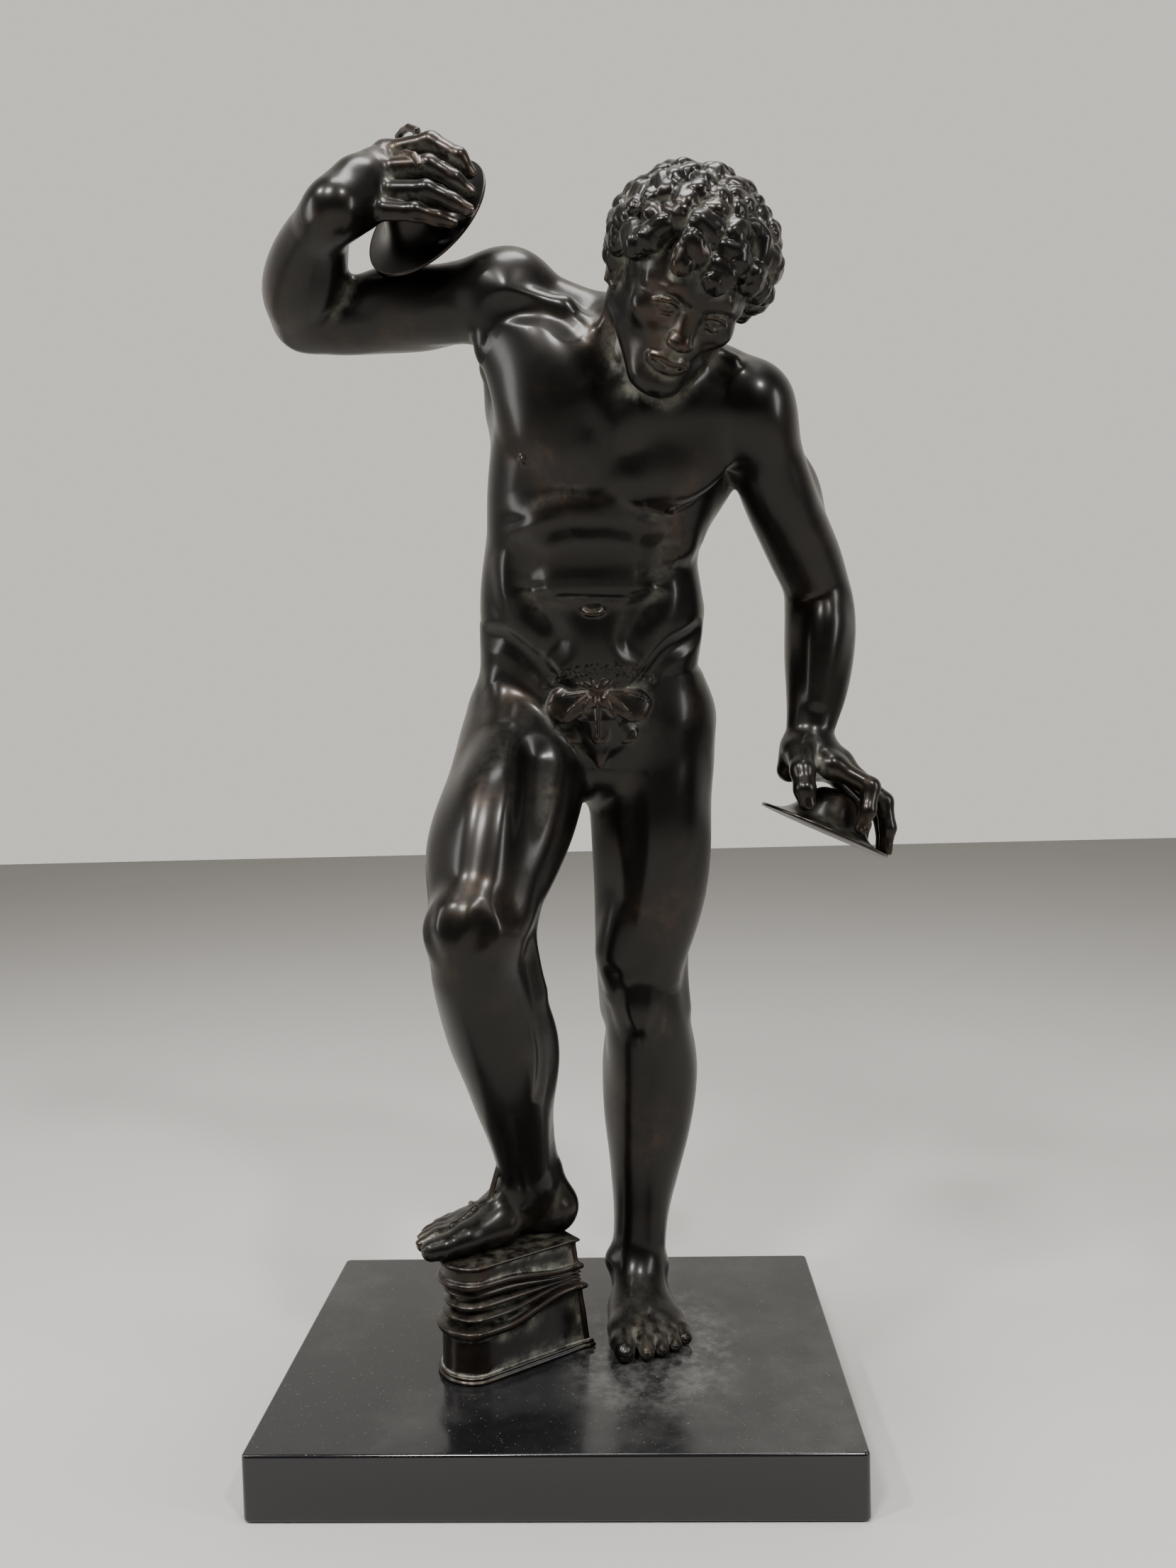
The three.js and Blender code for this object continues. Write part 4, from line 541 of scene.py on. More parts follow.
# fold over the navel, navel, soft lower belly
welt([[0, -40, 556], [12, -44, 557], [24, -46, 557], [36, -46, 556], [52, -43, 556], [62, -39, 555],
    [70, -33, 553]], [0.05, -0.95, -0.3], 8, 2.2, 7)
crease([[8, -44, 549.5], [22, -47, 548.5], [38, -47, 547.5], [52, -44, 547], [62, -40, 547]],
    [0.05, -0.97, -0.2], 3, 1.5, 1.6)
ball([33, -22, 520], [36, 17, 28], 18)
ball([34, -46, 542], [6.4, 3.4, 2.2], 1.4, cut=True)
welt([[26, -45, 541.5], [30, -45.6, 538.6], [34, -45.8, 538], [38, -45.4, 538.6], [42, -44, 541.5]],
    [0.03, -0.98, -0.1], 2, 0.9, 1.6)
# outer edges of the belly muscle, rolls over the hip bones, groin lines
crease([[-8, -46, 574], [-8, -38, 554], [-3, -34, 540], [8, -32, 524]], [-0.4, -0.88, -0.25], 13, 0.9, 12)
crease([[76, -44, 572], [74, -36, 554], [69, -32, 540], [60, -30, 524]], [0.4, -0.88, -0.25], 13, 0.9, 12)
welt([[-24, -28, 570], [-22, -24, 552], [-14, -27, 536], [-4, -28, 524]], [-0.5, -0.82, -0.2], 9, 1.8, 9)
welt([[-36, 4, 548], [-32, -11, 542], [-24, -21, 536], [-14, -27, 529]], [-0.5, -0.82, -0.2], 9, 1.8, 8)
welt([[82, -28, 562], [84, -25, 548], [78, -27, 534], [68, -29, 521]], [0.5, -0.82, -0.2], 9, 1.6, 9)
welt([[101, -2, 542], [93, -14, 538], [84, -24, 532]], [0.5, -0.82, -0.2], 9, 2.2, 7)
crease([[-48, 4, 531], [-38, -10, 528], [-26, -20, 525], [-10, -25, 514], [3, -25, 500], [14, -25, 486]],
    [-0.45, -0.88, -0.15], 7, 1.5, 6)
crease([[101, -2, 527], [91, -13, 519], [80, -19, 511], [70, -21, 500], [60, -20, 486]],
    [0.45, -0.88, -0.15], 7, 1.5, 6)
# soft teeth of the rib muscles on the lower left flank
for a, b in [[[97, -24, 604], [86, -42, 592]], [[96, -20, 588], [85, -36, 576]]]:
    spindle(a, b, 8, 12, 0.5, 0.5)

# Arms: raised right arm, shoulder to elbow to wrist
ball([-15, -55, 738], [30, 27, 27], 8)
loft([[-13, -52, 736, 26, 27, 24], [-39, -46, 736, 26, 27, 23], [-78, -32, 737, 24, 25, 21],
    [-115, -16, 738, 23, 23, 21], [-140, -6, 742, 22, 23, 21], [-155, -1, 747, 20, 22, 21]], [0, 0, 1],
    [0, 0, 1], [1, 0.9])
spindle([-40, -58, 742], [-132, -22, 752], 17, 6, 0.5, 0.35)
spindle([-34, -32, 732], [-140, 4, 738], 17, 6, 0.4, 0.4)
loft([[-157, -2, 749, 22, 23, 22], [-153, -22, 754, 26, 27, 25], [-142, -48, 762, 25, 25, 25],
    [-128, -76, 770, 20, 20, 19], [-116, -96, 773, 15, 15, 14]], [-0.5, 0, 0.86], [-0.5, 0, 0.86],
    [0.9, 0.6])
# lowered left arm
ball([136, -59, 656], [26, 28, 32], 8)
loft([[137, -60, 662, 23, 26, 26], [145, -48, 638, 23, 26, 26], [152, -36, 616, 23, 26, 26],
    [163, -22, 597, 23, 26, 26], [175, -5, 577, 23, 25, 26], [184, 8, 560, 22, 24, 25],
    [187, 13, 543, 23.5, 25, 24.5], [187, 13, 525, 24, 25.5, 24], [185, 10, 505, 23, 23.5, 23],
    [183, 6, 486, 20.5, 20.5, 20], [178, 0, 466, 17, 16, 16], [175, -5, 452, 15, 13, 13]], FRONT, FRONT,
    [1, 1])
spindle([144, -60, 648], [168, -20, 580], 18, 6, 0.55, 0.3)
spindle([152, -36, 650], [184, 10, 578], 18, 6, 0.45, 0.35)
spindle([190, -2, 556], [180, -12, 480], 14, 8, 0.35, 0.3)
ball([196, 18, 560], [8, 8, 9], 8)

# Legs: standing left leg, hip to ankle
loft([[70, 34, 470, 46, 40, 48], [68, 38, 438, 46, 42, 46], [68, 38, 408, 43, 41, 42],
    [68, 40, 380, 40.5, 40, 41], [66, 42, 351, 37, 37, 37], [61, 44, 323, 34, 34, 34],
    [57, 47, 288, 30.5, 30, 31], [61, 50, 262, 29.5, 31.5, 29], [64, 53, 237, 31, 28.5, 32],
    [65, 60, 213, 33.5, 27, 36], [62, 63, 188, 33.5, 26, 36], [61, 64, 167, 30.5, 25, 32],
    [58, 61, 138, 25, 23.5, 26], [55, 57, 108, 19.5, 20, 22], [53, 53, 86, 18, 20, 24],
    [52, 52, 66, 18, 22, 24]], FRONT, FRONT, [0.95, 0.6])
spindle([82, 9, 462], [60, 32, 284], 26, 16, 0.42, 0.3)
spindle([96, 30, 440], [78, 34, 290], 20, 12, 0.55, 0.25)
spindle([54, 22, 372], [41, 31, 276], 18, 7, 0.66, 0.3)
spindle([56, 26, 446], [40, 42, 300], 20, 8, 0.35, 0.35)
spindle([88, 8, 492], [62, 12, 420], 13, 14, 0.5, 0.3)
crease([[61, -14, 440], [56, -8, 408], [55, -7, 374], [51, -3, 338], [44, 6, 306]], [-0.4, -0.9, 0], 10, 2,
    9)
# left knee cap between two rims, and the shin
ball([57, 22, 266], [16, 9, 19], 9)
crease([[39, 18, 290], [40, 18, 268], [48, 18, 248], [56, 16, 242]], [-0.5, -0.85, 0], 6, 1.2, 8)
crease([[75, 15, 290], [74, 16, 268], [66, 17, 248], [58, 16, 242]], [0.4, -0.9, 0], 6, 1.2, 8)
cone([58, 42, 236], [52, 50, 84], 13, 9, 18)
# hamstring cords, hollow of the knee, twin calf heads, heel cord
cone([80, 58, 345], [84, 60, 262], 11, 9, 14)
cone([46, 60, 345], [40, 60, 262], 11, 9, 14)
crease([[64, 84, 318], [63, 84, 290], [63, 84, 262]], [0, 1, 0], 13, 4, 9)
spindle([78, 64, 276], [74, 80, 152], 20, 10, 0.45, 0.25)
spindle([50, 66, 280], [52, 82, 146], 21, 10, 0.48, 0.25)
crease([[64, 99, 240], [65, 103, 215], [62, 100, 180]], [0, 1, 0], 8, 1.8, 7)
cone([57, 84, 150], [52, 74, 82], 7, 6, 10)
# bent right leg, thigh then shank
loft([[-16, 30, 472, 44, 40, 48], [-18, 16, 452, 46, 44, 48], [-21, 0, 432, 46, 45, 46],
    [-26, -25, 405, 44, 43, 42], [-33, -50, 378, 39, 40, 38], [-38, -71, 356, 32.5, 34, 34],
    [-42, -86, 340, 28, 30, 31]], [0, -0.8, 0.6], [0, -0.85, 0.5], [0.95, 0.8])
loft([[-42, -86, 340, 27, 31, 29], [-43, -80, 318, 27, 29, 29], [-41, -66, 287, 30, 26, 34],
    [-35, -56, 264, 31.5, 25, 37], [-30, -48, 244, 28.5, 24, 35], [-28, -38, 222, 24.5, 22, 29],
    [-25, -26, 203, 20.5, 19, 23], [-23, -15, 180, 17, 17, 21], [-21, -4, 156, 16, 18, 20]],
    [-0.5, -0.85, 0], [-0.5, -0.85, 0], [0.8, 0.7])
spindle([-24, -20, 462], [-43, -94, 354], 26, 18, 0.45, 0.3)
spindle([-48, -8, 440], [-60, -80, 350], 20, 18, 0.55, 0.25)
spindle([-18, -56, 392], [-28, -88, 334], 17, 8, 0.66, 0.35)
spindle([-6, 0, 456], [-6, -48, 386], 18, 9, 0.45, 0.4)
spindle([-32, -2, 496], [-8, -22, 440], 13, 14, 0.5, 0.3)
crease([[-9, -38, 448], [-10, -62, 416], [-12, -88, 380], [-16, -98, 358]], [0.62, -0.72, 0.3], 12, 0.6, 12)
# right knee
ball([-48, -98, 346], [18, 11, 18], 18)
crease([[-35, -114, 360], [-36, -116, 346], [-43, -117, 332]], [0.45, -0.88, 0.1], 6, 0.5, 8)
crease([[-68, -104, 356], [-69, -106, 344], [-62, -112, 330]], [-0.8, -0.6, 0.1], 6, 0.5, 8)
cone([-48, -88, 312], [-24, -8, 150], 12, 9, 18)
crease([[-6, -82, 308], [-5, -72, 284], [-4, -66, 260], [-9, -60, 232]], [0.8, -0.6, 0], 6, 1.8, 5)
cone([-18, -58, 342], [-12, -50, 298], 9, 9, 14)
cone([-56, -58, 342], [-54, -50, 298], 9, 9, 14)
spindle([-19, -56, 310], [-14, -8, 196], 20, 10, 0.45, 0.25)
spindle([-48, -52, 308], [-30, -4, 200], 19, 10, 0.42, 0.25)
cone([-15, -12, 214], [-8, 10, 152], 6, 6, 12)

# Hands: joints and radii of four fingers and the thumb. The raised right hand lies over the boss
# of its cymbal, and the lowered left hand hangs over the other.
RIGHT_DIGITS = [
    ([[-86, -68, 821], [-56, -78, 822], [-39, -82, 811], [-33, -80, 803]], [7.5, 6.4, 5.4, 4.2]),
    ([[-92, -78, 807], [-56, -90, 803], [-41, -88, 795], [-33, -86, 789]], [7.2, 6.2, 5.3, 4.2]),
    ([[-96, -82, 793], [-57, -96, 786], [-42, -93, 780], [-33, -93, 775]], [7, 5.8, 5, 4]),
    ([[-97, -88, 780], [-64, -98, 773], [-51, -95, 770], [-43, -93, 768]], [6.6, 5.2, 4.5, 3.7]),
    ([[-98, -72, 796], [-82, -50, 822], [-62, -54, 820], [-50, -58, 812]], [10, 7.5, 6, 4.8])]
LEFT_DIGITS = [
    ([[187, -24, 436], [211, -30, 422], [208, -36, 407], [203, -38, 396]], [7.4, 6.3, 5.2, 4.2]),
    ([[194, -12, 438], [223, -12, 411], [225, -15, 394], [223, -16, 381]], [7.4, 6.4, 5.4, 4.4]),
    ([[195, 3, 437], [222, 6, 408], [226, 3, 392], [224, 1, 377]], [7.2, 6.2, 5.3, 4.3]),
    ([[190, 17, 434], [212, 23, 410], [216, 21, 394], [214, 19, 383]], [6.8, 5.6, 4.8, 3.9]),
    ([[168, -16, 446], [167, -34, 434], [167, -42, 422], [168, -43, 414]], [10, 8, 7, 5.6])]


def palm(wrist, digits, knuckle_radii, start, radius, soft):
    """Rays of the palm from the wrist to the first joint of each finger."""
    for (joints, _), knuckle_radius in zip(digits, knuckle_radii):
        cone(mix(wrist, joints[0], start), joints[0], radius, knuckle_radius, soft)


def chain(points, radii, soft=0.8, first=None, cut=False):
    """Rounded cones from point to point; first is how softly the first one joins."""
    for i in range(len(points) - 1):
        join = first if first and i == 0 else soft
        cone(points[i], points[i + 1], radii[i], radii[i + 1], join, cut)


cone([-116, -96, 772], [-100, -90, 794], 14.5, 14, 12)
palm([-112, -106, 772], RIGHT_DIGITS, [8, 9, 9.5, 9], 0.15, 11, 12)
cone([-106, -96, 778], [-84, -66, 800], 11, 9, 9)
for joints, radii in RIGHT_DIGITS:
    chain(joints, radii, 3, 5)
palm([174, -5, 448], LEFT_DIGITS, [9, 9.5, 9.5, 8.5], 0.1, 12, 9)
cone([168, -6, 446], [163, 0, 434], 11, 9, 9)
cone([178, 6, 446], [180, 14, 434], 12, 9, 9)
for joints, radii in LEFT_DIGITS:
    chain(joints, radii, 3, 5)


def head_ball(x, y, z, radii, soft, cut=False):
    ball(HEAD(x, y, z), radii, soft, cut, HEAD)


# Head: skull, forehead, middle face, mouth region, chin.
head_ball(0, 2, 11, [40, 44, 36], 8)
head_ball(0, -11, 9, [32, 32, 28], 8)
head_ball(0, -12, -15, [30, 28, 33], 10)
head_ball(0, -29, -33, [14, 12, 14], 9)
head_ball(0, -36, -50, [9, 8.5, 7], 7)
for s in (-1, 1):
    # jaw, cheek bone, brow, eye hollow, eye, wing of the nose, ear
    cone(HEAD(s * 25, 3, -24), HEAD(s * 8, -28, -49), 10, 9, 12)
    head_ball(s * 20, -28, -13, [11, 9, 9], 9)
    cone(HEAD(s * 5, -41, 4), HEAD(s * 15, -39, 7), 4, 4, 5)
    cone(HEAD(s * 15, -39, 7), HEAD(s * 26, -30, 2), 4, 3, 5)
    head_ball(s * 14, -46, -4.5, [9.5, 7, 5], 5, True)
    ball(HEAD(s * 14, -33, -4), [7.4, 7.4, 7.4], 1.5)
    head_ball(s * 4.6, -43.5, -20.5, [3.4, 4.8, 3.4], 2.5)
    head_ball(s * 37, 5, -10, [4, 9, 12], 3)
# nose, lips and the fold over the chin
cone(HEAD(0, -39, 3), HEAD(0, -41.5, -16), 3.6, 5.6, 5)
cone(HEAD(0, -41, -2), HEAD(0, -46.5, -18), 2.4, 3.2, 4)
head_ball(0, -47, -19.5, [4.2, 4.6, 3.9], 3)
cord([HEAD(-10, -38, -33.6), HEAD(-5, -41.6, -32.4), HEAD(0, -43, -33), HEAD(5, -41.6, -32.4),
      HEAD(10, -38, -33.6)], [0, 0, 1], 2.6, 0, -1, 2.5)
cord([HEAD(-9, -38, -36.4), HEAD(-4, -41.2, -37.8), HEAD(0, -42.2, -38), HEAD(4, -41.2, -37.8),
      HEAD(9, -38, -36.4)], [0, 0, 1], 2.8, 0, 0, 2.5)

# Fig leaf: padding, two domed upper lobes, two lower ones, the long one, stalk and two notches.
out = [0, -0.97, 0.25]
ball([36, -14, 468], [20, 12, 20], 7)
ball([20, -22, 485], [17, 6.5, 10], 1.5)
ball([53, -19.5, 481], [18, 6.5, 10], 1.5)
cone([31, -23, 474], [19, -19, 462], 10, 7, 1.5, flat=[out, 0.4])
cone([40, -22, 474], [54, -17, 461], 10, 7, 1.5, flat=[out, 0.4])
cone([35, -23, 472], [35, -13, 441], 17, 3, 2, flat=[out, 0.42])
cone([36, -29, 487], [36, -27, 500], 2.4, 2, 1.5)
cone([12, -28, 473], [20, -29, 476], 2.2, 1.2, 1.5, cut=True)
cone([63, -25, 468], [54, -27, 473], 2.4, 1.2, 1.5, cut=True)

FOOT_SCALE = 0.93
# Toes of the foot pattern: three joints with their radii, then the spot and radius of the nail.
TOES = [
    ([(-12.5, -56, 11), (-12.5, -73, 8.5), (-11.5, -82, 8)], [10, 8.6, 7.8], (-11.5, -84, 12.6), 4.6),
    ([(1.5, -54, 11), (2.5, -72, 10), (3.5, -82, 6.5)], [7, 6.2, 5.6], (3.5, -83.5, 10.2), 3.1),
    ([(10.5, -51, 10), (12.5, -67, 9), (14, -77, 6)], [6.6, 5.8, 5.2], (14, -78.5, 9.4), 2.9),
    ([(18.5, -46, 9), (21.5, -60, 8.5), (23.5, -70, 5.6)], [6.2, 5.4, 4.9], (23.5, -71.5, 8.7), 2.7),
    ([(25, -40, 8), (29, -51, 7.5), (31, -60, 5.4)], [6, 5.2, 4.7], (31, -61.5, 8.2), 2.5)]


def foot_point(bearing, side, x, y, z):
    """A point of the foot pattern, scaled, widened and mirrored for the right foot."""
    return bearing(FOOT_SCALE * 1.08 * side * x, FOOT_SCALE * y, FOOT_SCALE * z)


def foot(bearing, side):
    """One foot with its toes; side is 1 for the left foot and -1 for the right."""
    def bar(a, b, ra, rb, soft):
        start, end = foot_point(bearing, side, *a), foot_point(bearing, side, *b)
        cone(start, end, ra * FOOT_SCALE, rb * FOOT_SCALE, soft)

    def knob(x, y, z, radius, soft):
        ball(foot_point(bearing, side, x, y, z), [radius * FOOT_SCALE] * 3, soft)

    knob(0, 20, 16, 17, 10)
    bar((0, 18, 12), (5, -24, 10), 15, 10.5, 12)
    bar((-2, 0, 36), (-8, -44, 14), 15, 9.5, 14)
    bar((4, 0, 30), (14, -40, 11), 14, 8.5, 14)
    bar((9, 16, 11), (23, -36, 9.5), 10.5, 8, 10)
    bar((-11, -26, 12), (-11, -56, 11), 11.5, 10.5, 9)
    bar((2, -40, 12), (19, -48, 9), 10, 8, 8)
    knob(-15, -1, 40, 7, 8)
    knob(15, 3, 33, 7, 8)
    bar((0, 22, 16), (0, 17, 44), 10, 7, 9)
    for joints, radii, _, _ in TOES:
        spots = [foot_point(bearing, side, *joint) for joint in joints]
        chain(spots, [radius * FOOT_SCALE for radius in radii], 2.2, 5)


foot(LEFT_FOOT, 1)
foot(RIGHT_FOOT, -1)

# Clearer edges of the torso: rib arch, roll over the navel fold and edge of the right flank, and
# the two broad blades and the hanging lobe of the fig leaf.
ball([30, -50, 597], [34, 16.5, 8], 16)
ball([34, -33, 557], [32, 14, 6], 12)
welt([[-21, -35, 572], [-20, -33, 556], [-15, -31, 542], [-5, -31, 527]], [-0.35, -0.93, -0.1], 8, 1, 9)
for s in (-1, 1):
    front = unit((s * 0.28, -0.95, 0.12))
    cone((35 + s * 6, -30, 486), (35 + s * 23, -24, 480), 8, 12, 1.5, flat=(front, 0.3))
cone((35, -28, 476), (35, -26, 460), 8, 6, 1.5, flat=(unit((0, -0.96, 0.2)), 0.4))
plain_body = Body(forms)


def skin_spot(start, way, reach=24.0):
    """First point of the plain body met from start along way."""
    line = vec(start) + np.arange(0, reach, 0.25)[:, None] * vec(way)
    return line[np.argmax(plain_body(line) < 0)]


# Fine work of the cast: lids, nostrils, ears, mouth line, nipples, leaf veins, nails, sandal
# thong, straps of the right hand and the narrow band of stippled hair over the leaf.
for s in (-1, 1):
    chain([HEAD(s * 6.5, -37.5, -5), HEAD(s * 10, -40.6, -1.6), HEAD(s * 14.5, -41.4, -0.4),
           HEAD(s * 19, -39.6, -2), HEAD(s * 22.5, -35.5, -5.5)], [1.2, 1.7, 1.8, 1.6, 1.1])
    chain([HEAD(s * 6.5, -37.5, -5), HEAD(s * 11, -39.4, -8), HEAD(s * 15.5, -39.4, -8.7),
           HEAD(s * 19.5, -37.6, -7.8), HEAD(s * 22.5, -35.5, -5.5)], [1.0, 1.3, 1.4, 1.2, 1.0])
    ball(HEAD(s * 2.7, -45.6, -23.4), [1.3, 1.9, 1.2], 0.7, True)
    chain([HEAD(s * 37, -2, -20), HEAD(s * 39.5, 6, -20), HEAD(s * 41, 12, -10), HEAD(s * 40.5, 8, 0)],
          [1.6, 1.8, 2.0, 1.8], 1.5)
chain([HEAD(-10, -39.5, -35), HEAD(-4, -44.4, -35.2), HEAD(0, -45.6, -35.3),
       HEAD(4, -44.4, -35.2), HEAD(10, -39.5, -35)], [0.7, 0.9, 0.9, 0.9, 0.7], 0.7, cut=True)
# nipples with their rings
for spot, out in (((-6, -69, 632), (-0.35, -0.9, -0.2)), ((85, -59, 602), (0.2, -0.9, -0.4))):
    out = unit(out)
    at = skin_spot(vec(spot) + out * 10, -out)
    ball(at + out * 0.7, [2.0, 2.0, 2.0], 0.5)
    ball(at - out * 3.3, [4.9, 4.9, 4.9], 1.0)


def over_leaf(x, z):
    return skin_spot((x, -70, z), (0, 1, 0), 60)


# leaf veins and the folded little leaves at its stalk
for s in (-1, 1):
    for way in ((7, 488, 20, 487, 33, 482), (6, 486, 16, 479, 25, 470), (5, 484, 10, 475, 13, 467)):
        chain([over_leaf(35 + s * way[i], way[i + 1]) for i in (0, 2, 4)], [1.3, 1.1, 0.7], 0.6)
chain([over_leaf(35, z) for z in (492, 482, 470, 458)], [1.5, 1.5, 1.3, 0.8], 0.6)
for i in (-3, -2, -1, 1, 2, 3):
    chain([over_leaf(35 + i * 0.8, 490), over_leaf(35 + i * 4.2, 498 - abs(i) * 1.2)], [1.5, 1.1], 0.5)
# nails of the fingers and of the left thumb, then of the toes
for i, (joints, radii) in enumerate(RIGHT_DIGITS[:4] + LEFT_DIGITS):
    tip, joint, r = vec(joints[-1]), vec(joints[-2]), radii[-1]
    along = unit(tip - joint)
    up = unit((0.1, -1, 0.25)) if i < 4 or i == 8 else unit((0.75, -0.6, 0.2))
    up = unit(up - along * (up @ along))
    mid = tip - along * 0.4 + up * (r - 0.55)
    cone(mid - along * 1.6, mid + along * 2.6, r * 0.56, r * 0.6, 0.25, flat=(up, 0.32))
for bearing, side in ((LEFT_FOOT, 1), (RIGHT_FOOT, -1)):
    for _, _, (x, y, z), r in TOES:
        back = foot_point(bearing, side, x, y + 3.2, z + 1.2)
        front = foot_point(bearing, side, x, y - 2.2, z - 1.0)
        cone(back, front, r, r * 0.9, 0.25, flat=(bearing.dir(0, -0.35, 1), 0.3))


def on_instep(x, y):
    """A spot just over the top of the right foot."""
    return skin_spot((x, y, 175), (0, 0, -1), 60) + (0, 0, 0.9)


# thong of the sandal over the right instep and along the foot
thong = [(-62, -6), (-59, -12), (-54, -18), (-47, -21), (-39, -22), (-31, -22), (-24, -22)]
chain([on_instep(*spot) for spot in thong], [1.9] * 7, 0.4)
knot = [on_instep(*spot) for spot in ((-70, -32), (-64, -27), (-57, -20))]
chain(knot, [2.2] * 3, 0.4)
ball(knot[0], [3.4, 3.4, 2.8], 0.8)
# two straps over the fingers of the right hand
chain([(-79, -61, 835), (-75, -66, 836), (-70, -74, 834), (-64, -80, 829)], [2.2] * 4, 0.5)
chain([(-75, -83, 813), (-70, -88, 812), (-64, -93, 808), (-60, -96, 801)], [2.2] * 4, 0.5)
# stippled hair band: rows of small tufts in an arc over the leaf
TUFTS = 46
for i in range(TUFTS):
    for row in range(3):
        u = (i + 0.5 * (row % 2)) / TUFTS
        z = 494 + 7 * math.sin(u * math.pi) + row * 2.1 + 0.5 * math.sin(i * 3.1 + row)
        ball(skin_spot((74 * u, -45, z), (0, 1, 0), 40), [0.8, 0.6, 0.85], 0.5)


# Hair: short thick locks, set close together over the scalp in changing directions, each cut by
# a few grooves that run along it. They stand a set distance apart on a spiral over an egg.
def lock(a, b, ra, rb, outward, phase):
    """Rounded cone with shallow grooves along its length."""
    middle, half, place = bone(a, b)
    along = vec(b) - vec(a)
    across = unit(np.cross(unit(outward), along))
    lift = unit(np.cross(along, across))

    def distance(points):
        share, t, w = place(points)
        d = np.sqrt((w * w).sum(1)) - (ra + (rb - ra) * t)
        turn = np.arctan2(w @ across, w @ lift) + 0.5 * np.clip(share, -0.6, 1.6)
        wave = 0.5 - 0.5 * np.cos(5.5 * turn + phase)
        return d + 0.5 * wave ** 2 - 0.18
    forms.append((distance, middle, half + max(ra, rb) + 1, 0.9, False))


LOCK_SPACING, SCALP_RADIUS = 13.8, 48
scalp, middle = np.array([44.5, 48.5, 39.5]), np.array([0, 2, 11.0])
count = int(4 * math.pi * SCALP_RADIUS ** 2 / (LOCK_SPACING ** 2 * 0.86))
golden = math.pi * (3 - math.sqrt(5))
for i in range(count):
    z = 1 - 2 * (i + 0.5 + 0.28 * math.sin(i * 5.1)) / count
    r = math.sqrt(1 - z * z)
    angle = golden * i + 0.13 * math.sin(i * 3.7) / max(r, 0.3)
    around = np.array([r * math.cos(angle), r * math.sin(angle), z])
    spot = around * scalp + middle
    # the hairline is level over the forehead, falls to the ears and runs down to the nape
    hairline = -12 - (spot[1] - 6) * 0.95
    if spot[1] < 6:
        hairline = 18 - (spot[1] + 34) * 0.75
    if spot[1] < -34:
        hairline = 18
    if spot[2] < hairline:
        continue
    outward = unit(around / scalp)
    way = np.array([math.cos(i * 2.1), math.sin(i * 2.1), 0.6 * math.sin(i * 1.3)])
    way = unit(way - outward * (way @ outward))
    radius, half = 7.7 + 0.8 * math.sin(i * 2.3), 2.6 + 1.2 * math.sin(i * 4.1)
    start, end = spot - way * half - outward * 1.2, spot + way * half + outward * 0.6
    lock(HEAD(*start), HEAD(*end), radius, radius * 0.95, HEAD.dir(*outward), i * 1.9)

body = Body(forms)
cell = 1.05
points, quads = skinned(body, [-200, -190, PLINTH_HEIGHT + 0.3], [250, 150, 860], cell)


def mesh_piece(name, points, faces):
    """A mesh object from points in millimetres."""
    data = bpy.data.meshes.new(name)
    data.from_pydata((np.asarray(points) / 1000.0).tolist(), [], np.asarray(faces).tolist())
    piece = bpy.data.objects.new(name, data)
    bpy.context.scene.collection.objects.link(piece)
    return piece


def mesh_rows(field, name, width, kind=float):
    """The numbers of one mesh field, a row for each point or edge."""
    rows = np.empty(len(field) * width, kind)
    field.foreach_get(name, rows)
    return rows.reshape(-1, width)


def store(piece, name, values):
    layer = piece.data.attributes.new(name, "FLOAT", "POINT")
    layer.data.foreach_set("value", np.clip(values, -0.5, 1.5).astype(np.float32))


MOST_TRIANGLES = 186000
faun = mesh_piece("faun_cast", points, quads)
triangles = 2 * len(quads)
if triangles > MOST_TRIANGLES:
    slim = faun.modifiers.new("slim", "DECIMATE")
    slim.ratio = MOST_TRIANGLES / triangles
    graph = bpy.context.evaluated_depsgraph_get()
    data = bpy.data.meshes.new_from_object(faun.evaluated_get(graph))
    faun.modifiers.clear()
    faun.data = data
vertices = mesh_rows(faun.data.vertices, "co", 3) * 1000.0
normals = body.slope(vertices)
vertices -= normals * np.clip(body(vertices), -0.5, 0.5)[:, None]
normals = body.slope(vertices)
faun.data.vertices.foreach_set("co", (vertices / 1000.0).ravel())

# How much open air lies over each spot at three distances, low in hollows and high on ridges,
# and how much bronze lies under it at two depths.
for name, reach in (("open_near", 2.0), ("open_mid", 6.0), ("open_far", 16.0)):
    store(faun, name, body(vertices + normals * reach) / reach)
for name, reach in (("thick_near", 2.5), ("thick_mid", 7.0)):
    store(faun, name, -body(vertices - normals * reach) / reach)
faun.data.polygons.foreach_set("use_smooth", [True] * len(faun.data.polygons))
faun.data.normals_split_custom_set_from_vertices(normals.tolist())
faun.data.update()


